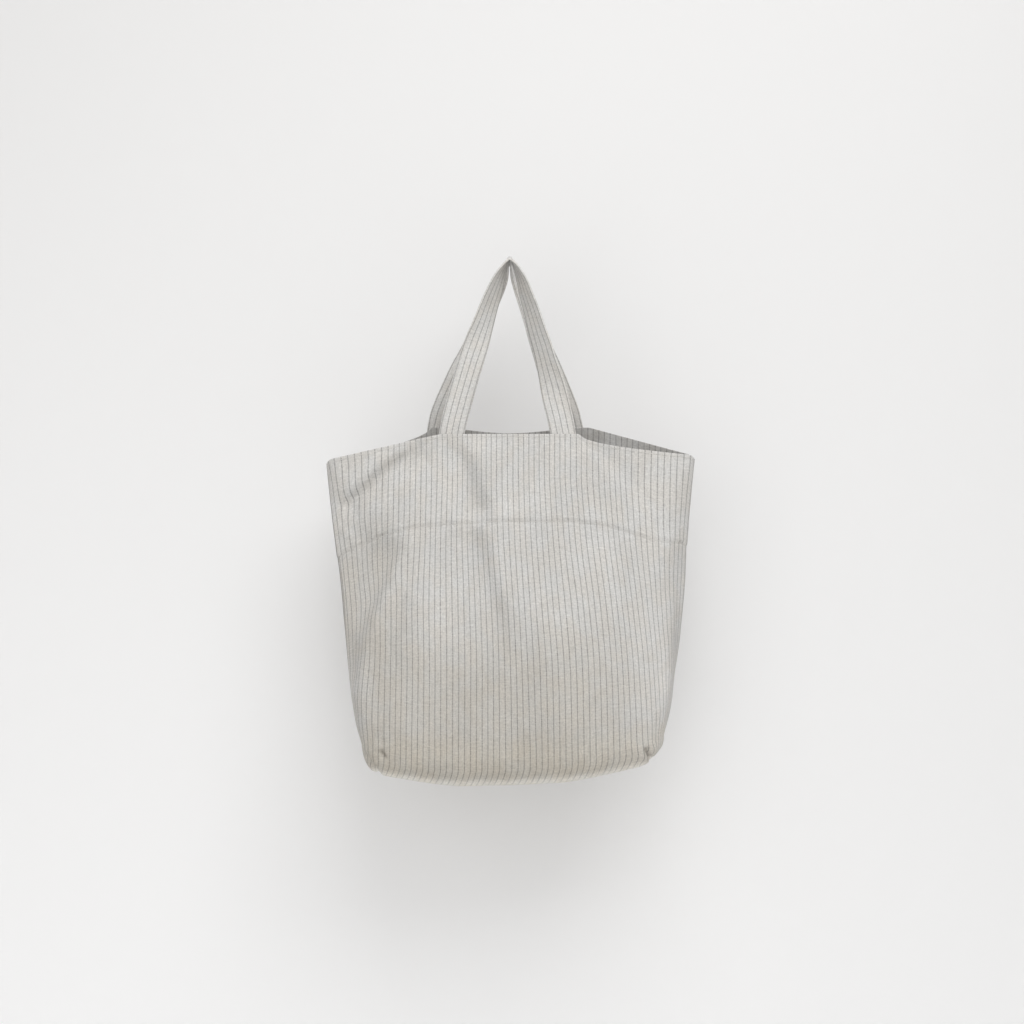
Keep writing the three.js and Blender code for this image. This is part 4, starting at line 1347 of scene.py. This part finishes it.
    def stitching(self, hand: Hand) -> bpy.types.Object:
        """The stitches along one edge of the strap, on the face that looks outwards.

        Args:
            hand: Right for the outer edge, left for the inner one.

        Returns:
            The new object.
        """
        shape = self.panel.shape
        offset = hand.value * (shape.strap_width / 2 - self.stitch_inset)
        points, faces, run = self.surface(np.array([offset]))
        points, faces = points[:, 0], faces[:, 0]
        surface = points + faces * (shape.strap_thickness / 2 - self.stitch_sink)
        along = np.stack([np.gradient(surface[:, k]) for k in range(3)], 1)
        first, last = run[self.tail_rows] + self.stitch_end_gap, run[-self.tail_rows] - self.stitch_end_gap
        places = np.arange(first, last, self.stitch_pitch)

        def read(rows: np.ndarray) -> np.ndarray:
            """The rows' values at the stitches' places."""
            return np.stack([np.interp(places, run, rows[:, k]) for k in range(3)], 1)

        name = f"{self.panel.side.word}_strap_stitches_{hand.word}"
        sewn = (read(surface), read(along), read(faces))
        return stitches(name, *sewn, self.stitch_length, self.thread_radius)


@dataclass(frozen=True)
class Colours:
    """The colours of the cloth and the thread, as linear values."""

    pale: Colour = (0.662, 0.656, 0.640)
    grey: Colour = (0.528, 0.523, 0.509)
    stripe: Colour = (0.115, 0.113, 0.110)
    thread: Colour = (0.680, 0.665, 0.630)


@dataclass
class Nodes:
    """A short way to write a material's or a world's nodes."""

    tree: bpy.types.NodeTree

    def __post_init__(self) -> None:
        """Starts the tree afresh."""
        self.tree.nodes.clear()

    def add(self, kind: str, inputs: dict | None = None, **settings: object) -> bpy.types.Node:
        """Adds a node.

        Args:
            kind: The node's type, without its leading words.
            inputs: Sockets to link or values to set, by the input's name or number.
            settings: The node's own settings.

        Returns:
            The new node.
        """
        node = self.tree.nodes.new(f"ShaderNode{kind}")
        for key, value in settings.items():
            setattr(node, key, value)
        for key, value in (inputs or {}).items():
            if isinstance(value, Socket):
                self.tree.links.new(value, node.inputs[key])
            else:
                node.inputs[key].default_value = value
        return node

    def math(self, operation: str, *values: Value) -> Socket:
        """Adds an operation on one, two or three values, and gives its result."""
        return self.add("Math", dict(enumerate(values)), operation=operation).outputs[0]

    def times(self, *values: Value) -> Socket:
        """Multiplies the values, one after another."""
        return reduce(lambda product, value: self.math("MULTIPLY", product, value), values)

    def plus(self, *values: Value) -> Socket:
        """Adds the values up, one after another."""
        return reduce(lambda total, value: self.math("ADD", total, value), values)

    def ramp(self, value: Socket, low: float, high: float, to_low: float = 0.0,
             to_high: float = 1.0) -> Socket:
        """Maps a value smoothly from low..high to to_low..to_high, and gives the result."""
        inputs = {0: value, 1: low, 2: high, 3: to_low, 4: to_high}
        return self.add("MapRange", inputs, interpolation_type="SMOOTHSTEP").outputs[0]

    def noise(self, place: Socket, scale: Point, detail: float = 2.0, roughness: float = 0.5) -> Socket:
        """A noise between 0 and 1.

        Args:
            place: Where it is read.
            scale: Its scale each way.
            detail: How many finer noises it has on it.
            roughness: How strong those are.

        Returns:
            The noise.
        """
        spread = self.add("Mapping", {"Vector": place, "Scale": scale}).outputs[0]
        inputs = {"Vector": spread, "Scale": 1.0, "Detail": detail, "Roughness": roughness}
        return self.add("TexNoise", inputs).outputs["Fac"]

    def mix(self, share: Value, a: Socket | Colour, b: Socket | Colour) -> Socket:
        """A colour between a and b.

        Args:
            share: How much of b it has.
            a: The first colour.
            b: The second one.

        Returns:
            The colour.
        """
        values = {0: share, 6: a, 7: b}
        inputs = {key: (*value, 1.0) if isinstance(value, tuple) else value for key, value in values.items()}
        return self.add("Mix", inputs, data_type="RGBA").outputs[2]

    def tinted(self, colour: Socket, share: Socket, tint: Colour) -> Socket:
        """A colour multiplied by a tint, in part."""
        inputs = {0: share, 6: colour, 7: (*tint, 1.0)}
        return self.add("Mix", inputs, data_type="RGBA", blend_type="MULTIPLY").outputs[2]

    def scaled(self, colour: Socket | Colour, level: Value) -> Socket:
        """A colour made lighter or darker."""
        return self.add("VectorMath", {0: colour, "Scale": level}, operation="SCALE").outputs[0]

    def surface(self, colour: Socket, normal: Socket, settings: dict[str, float]) -> None:
        """Adds the surface itself, and the material's output."""
        shader = self.add("BsdfPrincipled", {"Base Color": colour, "Normal": normal, **settings})
        self.add("OutputMaterial", {"Surface": shader.outputs[0]})


def new_material(name: str) -> tuple[bpy.types.Material, Nodes]:
    """Makes an empty material.

    Args:
        name: Its name.

    Returns:
        The material and its nodes.
    """
    material = bpy.data.materials.new(name)
    material.use_nodes = True
    return material, Nodes(material.node_tree)


# A tint that leaves a colour as it is, for cloth without painted shade or bounce tint.
UNTINTED: Colour = (1.0, 1.0, 1.0)


@dataclass(frozen=True)
class Speckle:
    """A noise in the cloth: its repeats in a metre each way, and what its low and high values become."""

    across: float
    along: float
    detail: float
    roughness: float
    low: float
    high: float
    to_low: float = 0.0
    to_high: float = 1.0

    def build(self, nodes: Nodes, place: Socket) -> Socket:
        """Adds the noise at a place on the cloth, and gives its result."""
        noise = nodes.noise(place, (self.across, self.along, 1.0), self.detail, self.roughness)
        return nodes.ramp(noise, self.low, self.high, self.to_low, self.to_high)


@dataclass(frozen=True)
class Fade:
    """A soft change across or down the cloth: its start and end in millimetres, and its values there."""

    start: float
    end: float
    before: float = 0.0
    after: float = 1.0

    def build(self, nodes: Nodes, distance: Socket) -> Socket:
        """Adds the change along a distance in metres, and gives its result."""
        return nodes.ramp(distance, self.start * MM, self.end * MM, self.before, self.after)


@dataclass(frozen=True)
class StripedLinen:
    """Slubby linen in plain weave with thin dark stripes along the warp.

    A range has the values that go in, low and high, and what they come out as, if not 0 and 1.
    """

    name: str
    colours: Colours = Colours()
    pitch: float = 7.2 * MM
    stripe_width: float = 1.2 * MM
    stripe_edges: tuple[float, float] = (0.72, 0.32)
    stripe_drift: float = 1.1 * MM
    drift_scale: Point = (40.0, 12.0, 1.0)
    crossing_range: Range = (0.35, 0.68, 0.64, 0.32)
    stripe_hollow_range: Range = (0.0, 0.8, 0.8, 1.0)
    yarn: float = 0.8 * MM
    yarn_roundness: float = 0.6
    warp_changes: float = 55.0
    weft_changes: float = 75.0
    fleck_scale: float = 620.0
    fleck_share: float = 0.45
    pale_range: Range = (0.36, 0.62)
    # Painted shade between the yarns of the weave.
    hollow_range: Range = (0.0, 0.7, 0.88, 1.03)
    weave_relief: float = 0.5
    yarn_relief: float = 0.9
    weave_depth: float = 0.35 * MM
    crease_scale: Point = (85.0, 60.0, 1.0)
    crease_depth: float = 1.4 * MM
    # A level on the cloth's colour; the facing's darker copy is painted shade and the strap's lighter copy
    # painted light.
    shade: float = 1.0
    clouds: Speckle = Speckle(16.0, 10.0, 3.0, 0.55, 0.3, 0.7, 0.96, 1.035)
    slubs: Speckle = Speckle(190.0, 900.0, 2.0, 0.5, 0.62, 0.78, 1.0, 1.08)
    fibres: Speckle = Speckle(430.0, 370.0, 2.0, 0.5, 0.3, 0.7, 0.94, 1.06)
    streaks: Speckle = Speckle(115.0, 340.0, 2.0, 0.45, 0.3, 0.7, 0.965, 1.035)
    mottle: Speckle = Speckle(42.0, 30.0, 2.0, 0.5, 0.36, 0.64)
    warmth: Colour = (1.0, 0.98, 0.955)
    # Painted shade: the body's colour is tinted darker and warmer low down, and less towards the sides.
    soil: Colour = (0.82, 0.80, 0.765)
    soil_down: Fade = Fade(185, 330)
    soil_left: Fade = Fade(-195, -150, 0.2)
    soil_right: Fade = Fade(80, 215, 1.0, 0.1)
    # Painted shade on the left of the body below the rim, where the cloth faces away from the light.
    corner_left: Fade = Fade(-75, -165)
    corner_down: Fade = Fade(60, 140)
    corner_end: Fade = Fade(250, 320, 0.55, 0.0)
    # Painted warm bounce light: the turned-under base is tinted warmer.
    foot: Colour = (1.01, 0.99, 0.95)
    foot_down: Fade = Fade(365, 395)
    # Painted light: the cloth near both side seams is painted lighter, more so lower down.
    rubbed_left: Fade = Fade(-185, -205)
    rubbed_right: Fade = Fade(188, 218)
    rubbed_down: Fade = Fade(240, 330, 0.0, 0.13)
    worn_down: Fade = Fade(418, 434)
    worn_gain: float = 1.25
    worn_stripe: float = 0.6

    def build(self) -> bpy.types.Material:
        """Makes the material.

        Returns:
            The new material.
        """
        material, nodes = new_material(self.name)
        place = nodes.add("UVMap", uv_map=CLOTH_UV).outputs[0]
        split = nodes.add("SeparateXYZ", {0: place})
        u, v = split.outputs[0], split.outputs[1]
        warp = nodes.noise(place, (1.0 / self.yarn, self.warp_changes, 1.0), roughness=0.6)
        weft = nodes.noise(place, (self.weft_changes, 1.0 / self.yarn, 1.0), roughness=0.6)
        fleck = nodes.noise(place, (self.fleck_scale, self.fleck_scale, 1.0), detail=3.0, roughness=0.7)
        clouds, slubs, fibres, streaks, mottle = (speckle.build(nodes, place) for speckle in (
            self.clouds, self.slubs, self.fibres, self.streaks, self.mottle))
        weave, worn = self.weave_height(nodes, u, v), self.worn_down.build(nodes, v)
        tone = nodes.plus(nodes.times(warp, 0.5), nodes.times(weft, 0.5))
        grain = nodes.plus(nodes.times(tone, 1 - self.fleck_share), nodes.times(fleck, self.fleck_share))
        ground = nodes.mix(nodes.ramp(grain, *self.pale_range), self.colours.grey, self.colours.pale)
        # Painted shade between the yarns of the weave.
        weave_shade = nodes.ramp(weave, *self.hollow_range)
        level = nodes.times(clouds, weave_shade, slubs, nodes.times(fibres, streaks), self.shade,
                            nodes.ramp(worn, 0.0, 1.0, 1.0, self.worn_gain))
        unshaded = nodes.tinted(nodes.scaled(ground, level), mottle, self.warmth)
        share = nodes.times(self.stripe_share(nodes, place, u, weft, weave),
                            nodes.ramp(worn, 0.0, 1.0, 1.0, self.worn_stripe))
        colour = nodes.mix(share, self.aged(nodes, unshaded, u, v, worn), self.colours.stripe)
        height = nodes.plus(nodes.times(weave, self.weave_relief), nodes.times(tone, self.yarn_relief))
        self.finish(nodes, self.trim(nodes, u, v, colour), place, height)
        return material

    def aged(self, nodes: Nodes, colour: Socket, u: Socket, v: Socket, worn: Socket) -> Socket:
        """The cloth's colour with painted light and shade on it.

        Args:
            nodes: The material's nodes.
            colour: The cloth's colour before the painted light and shade.
            u: The place across the cloth.
            v: The place down it.
            worn: How far the fold at the base is worn pale.

        Returns:
            The colour with painted shade low down and on the left, a painted warm bounce tint under the base,
            and painted light along the sides.
        """
        # Painted shade, darker low down and less towards the sides, with none on the worn base fold.
        low = nodes.times(self.soil_down.build(nodes, v), nodes.math("SUBTRACT", 1.0, worn))
        soil = nodes.times(low, self.soil_right.build(nodes, u), self.soil_left.build(nodes, u))
        # Painted shade on the left of the body below the rim.
        corner = nodes.times(self.corner_left.build(nodes, u), self.corner_down.build(nodes, v),
                             self.corner_end.build(nodes, v))
        toned = nodes.tinted(colour, nodes.plus(soil, corner), self.soil)
        # Painted warm bounce light on the turned-under base.
        toned = nodes.tinted(toned, self.foot_down.build(nodes, v), self.foot)
        # Painted light along both sides, lower down.
        edges = nodes.plus(self.rubbed_left.build(nodes, u), self.rubbed_right.build(nodes, u))
        painted_light = nodes.times(edges, self.rubbed_down.build(nodes, v))
        return nodes.scaled(toned, nodes.plus(painted_light, 1.0))

    def trim(self, nodes: Nodes, u: Socket, v: Socket, colour: Socket) -> Socket:
        """The colour with what lies on top of the cloth: nothing here."""
        return colour

    def finish(self, nodes: Nodes, colour: Socket, place: Socket, height: Socket) -> None:
        """Adds the crumple, the weave's relief and the surface itself.

        Args:
            nodes: The material's nodes.
            colour: The cloth's colour.
            place: The place on the cloth.
            height: The height of the weave.
        """
        creases = nodes.noise(place, self.crease_scale, detail=3.0)
        rough = nodes.add("Bump", {"Height": creases, "Strength": 0.4, "Distance": self.crease_depth})
        relief = {"Height": height, "Strength": 0.55, "Distance": self.weave_depth,
                  "Normal": rough.outputs[0]}
        nodes.surface(colour, nodes.add("Bump", relief).outputs[0], {
            "Roughness": 0.93, "Sheen Weight": 0.12, "Sheen Roughness": 0.5, "Specular IOR Level": 0.15,
        })

    def weave_height(self, nodes: Nodes, u: Socket, v: Socket) -> Socket:
        """The height of the plain weave, from 0 between the yarns to 1 on top of them."""
        across, along = (nodes.math("SINE", nodes.times(way, math.pi / self.yarn)) for way in (u, v))
        return nodes.math("POWER", nodes.math("ABSOLUTE", nodes.times(across, along)), self.yarn_roundness)

    def stripe_share(self, nodes: Nodes, place: Socket, u: Socket, weft: Socket, weave: Socket) -> Socket:
        """How much of the stripes' colour shows.

        Args:
            nodes: The material's nodes.
            place: The place on the cloth.
            u: The place across it.
            weft: The noise of the pale yarns that cross the stripes.
            weave: The height of the weave.

        Returns:
            The share of the stripes' colour.
        """
        wander = nodes.noise(place, self.drift_scale)
        drift = nodes.times(nodes.math("SUBTRACT", wander, 0.5), self.stripe_drift)
        turn = nodes.math("FRACT", nodes.math("DIVIDE", nodes.plus(u, drift, self.pitch / 2), self.pitch))
        away = nodes.times(nodes.math("ABSOLUTE", nodes.math("SUBTRACT", turn, 0.5)), self.pitch)
        line = nodes.ramp(away, *(self.stripe_width * edge for edge in self.stripe_edges))
        crossed = nodes.ramp(weft, *self.crossing_range)
        return nodes.times(line, nodes.times(crossed, nodes.ramp(weave, *self.stripe_hollow_range)))


@dataclass(frozen=True)
class OversewnLinen(StripedLinen):
    """The same linen with loops of thread over its raw edge."""

    loop_pitch: float = 2.4 * MM
    loop_reach: float = 6 * MM
    loop_range: Range = (0.5, 0.9, 0.0, 0.85)

    def trim(self, nodes: Nodes, u: Socket, v: Socket, colour: Socket) -> Socket:
        """The colour with slanting loops of thread on it.

        Args:
            nodes: The material's nodes.
            u: The place across the strip.
            v: The place along it.
            colour: The cloth's colour.

        Returns:
            The colour of the cloth or the thread.
        """
        turns = nodes.plus(nodes.math("DIVIDE", v, self.loop_pitch), nodes.math("DIVIDE", u, self.loop_reach))
        wave = nodes.math("SINE", nodes.times(turns, 2 * math.pi))
        return nodes.mix(nodes.ramp(wave, *self.loop_range), colour, self.colours.thread)


@dataclass(frozen=True)
class Thread:
    """Sewing thread: pale, twisted, a little lustrous."""

    name: str
    colour: Colour
    twist: float = 0.9 * MM
    slope: float = 0.5
    tuft_scale: Point = (900.0, 500.0, 1.0)
    lit_range: Range = (-0.6, 1.4)
    dark_share: float = 0.78

    def build(self) -> bpy.types.Material:
        """Makes the material.

        Returns:
            The new material.
        """
        material, nodes = new_material(self.name)
        place = nodes.add("UVMap", uv_map=CLOTH_UV).outputs[0]
        split = nodes.add("SeparateXYZ", {0: place})
        slant = nodes.plus(split.outputs[1], nodes.times(split.outputs[0], self.slope))
        turns = nodes.math("SINE", nodes.times(slant, 2 * math.pi / self.twist))
        tuft = nodes.noise(place, self.tuft_scale)
        # Painted shade in the twist's grooves and painted light on its crests.
        dark = tuple(self.dark_share * part for part in self.colour)
        colour = nodes.mix(nodes.ramp(nodes.plus(turns, tuft), *self.lit_range), dark, self.colour)
        bump = nodes.add("Bump", {"Height": turns, "Strength": 0.4, "Distance": 0.1 * MM})
        nodes.surface(colour, bump.outputs[0], {
            "Roughness": 0.7, "Sheen Weight": 0.2, "Specular IOR Level": 0.3,
        })
        return material


@dataclass(frozen=True)
class Lamp:
    """A soft square lamp that points at the middle of the bag, with its width and its power in watts."""

    name: str
    place: Point
    size: float
    energy: float
    target: Point = (0.0, 0.0, -0.42)

    def build(self) -> None:
        """Sets up the lamp."""
        data = bpy.data.lights.new(self.name, "AREA")
        data.shape, data.size, data.energy = "SQUARE", self.size, self.energy
        lamp = add_object(self.name, data)
        lamp.location = self.place
        way = Vector(self.target) - Vector(self.place)
        lamp.rotation_euler = way.to_track_quat("-Z", "Y").to_euler()


@dataclass
class Studio:
    """The wall, the floor, the lights and the camera at the photograph's angle."""

    wall_y: float = 160 * MM
    floor_z: float = -1.35
    reach: float = 4.0
    top: float = 3.0
    camera_x: float = 0.003
    camera_z: float = -0.3175
    camera_distance: float = 2.5
    frame_width: float = 1.28
    sensor: float = 36.0
    wall_colour: Colour = (0.79, 0.79, 0.79)
    # Painted light on the wall: the colour's change per metre across and up.
    paint_slopes: tuple[float, float] = (-0.035, -0.19)
    backdrop: Colour = (0.83, 0.83, 0.83)
    floor_colour: Colour = (0.80, 0.80, 0.79)
    sky: Colour = (0.62, 0.62, 0.63)
    ground: Colour = (0.36, 0.32, 0.26)
    horizon_range: Range = (-0.7, 0.7)
    lamps: tuple[Lamp, ...] = (
        Lamp("key_lamp", (0.45, -1.35, 1.35), 1.7, 28.0),
        Lamp("fill_lamp", (-0.7, -2.4, -0.1), 2.4, 12.5),
        Lamp("back_lamp", (-0.8, 2.4, 1.3), 1.8, 22.0),
    )

    def build(self) -> None:
        """Sets up the camera, the wall, the floor and the lights."""
        self.camera()
        self.surfaces()
        self.lights()

    def camera(self) -> None:
        """Sets the camera square to the wall, as the photograph was taken."""
        data = bpy.data.cameras.new("camera")
        data.sensor_width = self.sensor
        data.lens = self.sensor * self.camera_distance / self.frame_width
        camera = add_object("camera", data)
        camera.location = (self.camera_x, -self.camera_distance, self.camera_z)
        camera.rotation_euler = (math.pi / 2, 0.0, 0.0)
        bpy.context.scene.camera = camera

    def plane(self, name: str, corners: list[Point], material: bpy.types.Material) -> None:
        """A flat stage piece.

        Args:
            name: Its name.
            corners: Its four corners.
            material: Its finish.
        """
        mesh = bpy.data.meshes.new(name)
        mesh.from_pydata(corners, [], [(0, 1, 2, 3)])
        mesh.materials.append(material)
        add_object(name, mesh)

    def surfaces(self) -> None:
        """The wall behind the bag and the floor far below it."""
        y, z, reach, top = self.wall_y, self.floor_z, self.reach, self.top
        wall = [(-reach, y, z), (reach, y, z), (reach, y, top), (-reach, y, top)]
        floor = [(-reach, -reach, z), (reach, -reach, z), (reach, reach, z), (-reach, reach, z)]
        self.plane("studio_wall", wall, self.wall_material())
        self.plane("studio_floor", floor, self.floor_material())

    def floor_material(self) -> bpy.types.Material:
        """Matt pale paint.

        Returns:
            The new material.
        """
        material, nodes = new_material("studio_floor")
        shader = nodes.add("BsdfDiffuse", {"Color": (*self.floor_colour, 1.0)})
        nodes.add("OutputMaterial", {"Surface": shader.outputs[0]})
        return material

    def wall_material(self) -> bpy.types.Material:
        """Matt white paint, painted lighter towards the bottom and the left as painted light, that is only
        there for a look from the front, so the bag's back can be seen.

        Returns:
            The new material.
        """
        material, nodes = new_material("studio_wall")
        path = nodes.add("LightPath").outputs["Is Camera Ray"]
        behind = nodes.add("NewGeometry").outputs["Backfacing"]
        shown = nodes.times(path, nodes.math("SUBTRACT", 1.0, behind))
        place = nodes.add("SeparateXYZ", {0: nodes.add("TexCoord").outputs["Object"]})
        # Painted light: the wall's colour rises towards the bottom and the left, evening out the lamps'
        # falloff.
        aside = nodes.plus(nodes.times(place.outputs[0], self.paint_slopes[0]), 1.0)
        level = nodes.math("MULTIPLY_ADD", place.outputs[2], self.paint_slopes[1], aside)
        colour = nodes.scaled(self.wall_colour, level)
        paint = nodes.add("BsdfDiffuse", {"Color": colour})
        clear = nodes.add("BsdfTransparent")
        both = nodes.add("MixShader", {0: shown, 1: clear.outputs[0], 2: paint.outputs[0]})
        nodes.add("OutputMaterial", {"Surface": both.outputs[0]})
        return material

    def lights(self) -> None:
        """A large soft lamp high in front, two weaker ones, and a pale sky over a warm ground."""
        for lamp in self.lamps:
            lamp.build()
        world = bpy.data.worlds.new("studio")
        bpy.context.scene.world = world
        world.use_nodes = True
        nodes = Nodes(world.node_tree)
        way = nodes.add("TexCoord").outputs["Generated"]
        height = nodes.add("SeparateXYZ", {0: way}).outputs[2]
        above = nodes.ramp(height, *self.horizon_range)
        light = nodes.add("Background", {0: nodes.mix(above, self.ground, self.sky)})
        seen = nodes.add("Background", {0: (*self.backdrop, 1.0)})
        path = nodes.add("LightPath").outputs["Is Camera Ray"]
        both = nodes.add("MixShader", {0: path, 1: light.outputs[0], 2: seen.outputs[0]})
        nodes.add("OutputWorld", {0: both.outputs[0]})
        bpy.context.scene.view_settings.view_transform = "Standard"


@dataclass
class Bag:
    """The whole bag, built piece by piece."""

    shape: Shape = field(default_factory=Shape)
    bend_start: float = -3 * MM
    bend_end: float = 24 * MM
    finishes: dict[Slot, bpy.types.Material] = field(init=False)

    def build(self) -> None:
        """Builds every piece, and fixes the panels' pieces and the seam strips to the bag's body."""
        self.finishes = {
            Slot.STRIPED: StripedLinen("striped_linen").build(),
            # The facing's copy of the linen is darker, as painted shade inside the bag.
            Slot.FACING: StripedLinen("facing_linen", shade=0.74).build(),
            # The strap's copy of the linen is a little lighter, as painted light, with no painted shade or
            # bounce tint.
            Slot.STRAP: StripedLinen("strap_linen", shade=1.03, soil=UNTINTED, foot=UNTINTED, worn_gain=1.0,
                                     worn_stripe=1.0).build(),
            Slot.SEAM: OversewnLinen("seam_linen", shade=0.94).build(),
            Slot.THREAD: Thread("sewing_thread", Colours().thread).build(),
        }
        front = Panel(self.shape, Side.FRONT, FRONT_DRAPE)
        back = Panel(self.shape, Side.BACK, BACK_DRAPE)
        for panel in (front, back):
            strap = self.handle(panel)
            self.sewn(panel, strap)
        self.allowances(front, back)

    def dress(self, piece: bpy.types.Object, slot: Slot, *nodes: str) -> bpy.types.Object:
        """Gives a piece its material and hides the frame's nodes that it replaces.

        Args:
            piece: The piece.
            slot: The record's slot for it.
            nodes: The frame's nodes that it replaces.

        Returns:
            The piece.
        """
        piece.data.materials.clear()
        piece.data.materials.append(self.finishes[slot])
        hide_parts(*nodes)
        LOG.info("made %s, %d faces", piece.name, len(piece.data.polygons))
        return piece

    def sewn(self, panel: Panel, strap: bpy.types.Object) -> None:
        """Builds what is sewn to one panel and rides with the bag.

        Args:
            panel: The panel.
            strap: The strap that it hangs from; not used.
        """
        word, shape = panel.side.word, self.shape
        wall = self.dress(panel.build(), Slot.STRIPED, f"{word}_panel")
        facing = self.dress(Facing(panel).build(), Slot.FACING, f"{word}_facing")
        rows = []
        for kind, drop in (("rim", shape.rim_stitch_depth), ("hem", shape.hem_depth)):
            row = PanelStitching(panel, kind, drop).build()
            rows.append(self.dress(row, Slot.THREAD, f"{word}_{kind}_stitching"))
        for piece in (wall, facing, *rows):
            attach(piece, Body.BAG.value)

    def handle(self, panel: Panel) -> bpy.types.Object:
        """Builds one strap with its stitches.

        Args:
            panel: The panel that the strap is sewn to.

        Returns:
            The strap.
        """
        word, strap = panel.side.word, Strap(panel)
        ends = [f"{word}_strap_end_{hand.word}" for hand in Hand]
        pieces = [self.dress(strap.build(), Slot.STRAP, f"{word}_strap", *ends)]
        for hand in Hand:
            row = strap.stitching(hand)
            pieces.append(self.dress(row, Slot.THREAD, f"{word}_strap_stitching_{hand.word}"))
        y, hinge_z = self.shape.hinge(panel.side)
        for piece in pieces:
            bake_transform(piece)
        return pieces[0]

    def allowances(self, front: Panel, back: Panel) -> None:
        """Builds the strips of seam allowance inside the bag.

        Args:
            front: The front panel.
            back: The back panel.
        """
        strips = [(Allowance.of_base(back), "bottom_seam_allowance")]
        for hand in Hand:
            strips.append((Allowance.of_side(back, hand), f"side_seam_allowance_{hand.word}"))
            for panel in (front, back):
                node = f"{panel.side.word}_corner_allowance_{hand.word}"
                strips.append((Allowance.of_corner(panel, hand), node))
        for strip, node in strips:
            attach(self.dress(strip.build(), Slot.SEAM, node), Body.BAG.value)


def main() -> None:
    """Sets up the studio and builds the bag."""
    logging.basicConfig(level=logging.INFO, format="%(message)s")
    Studio().build()
    Bag().build()


if __name__ == "__main__":
    main()
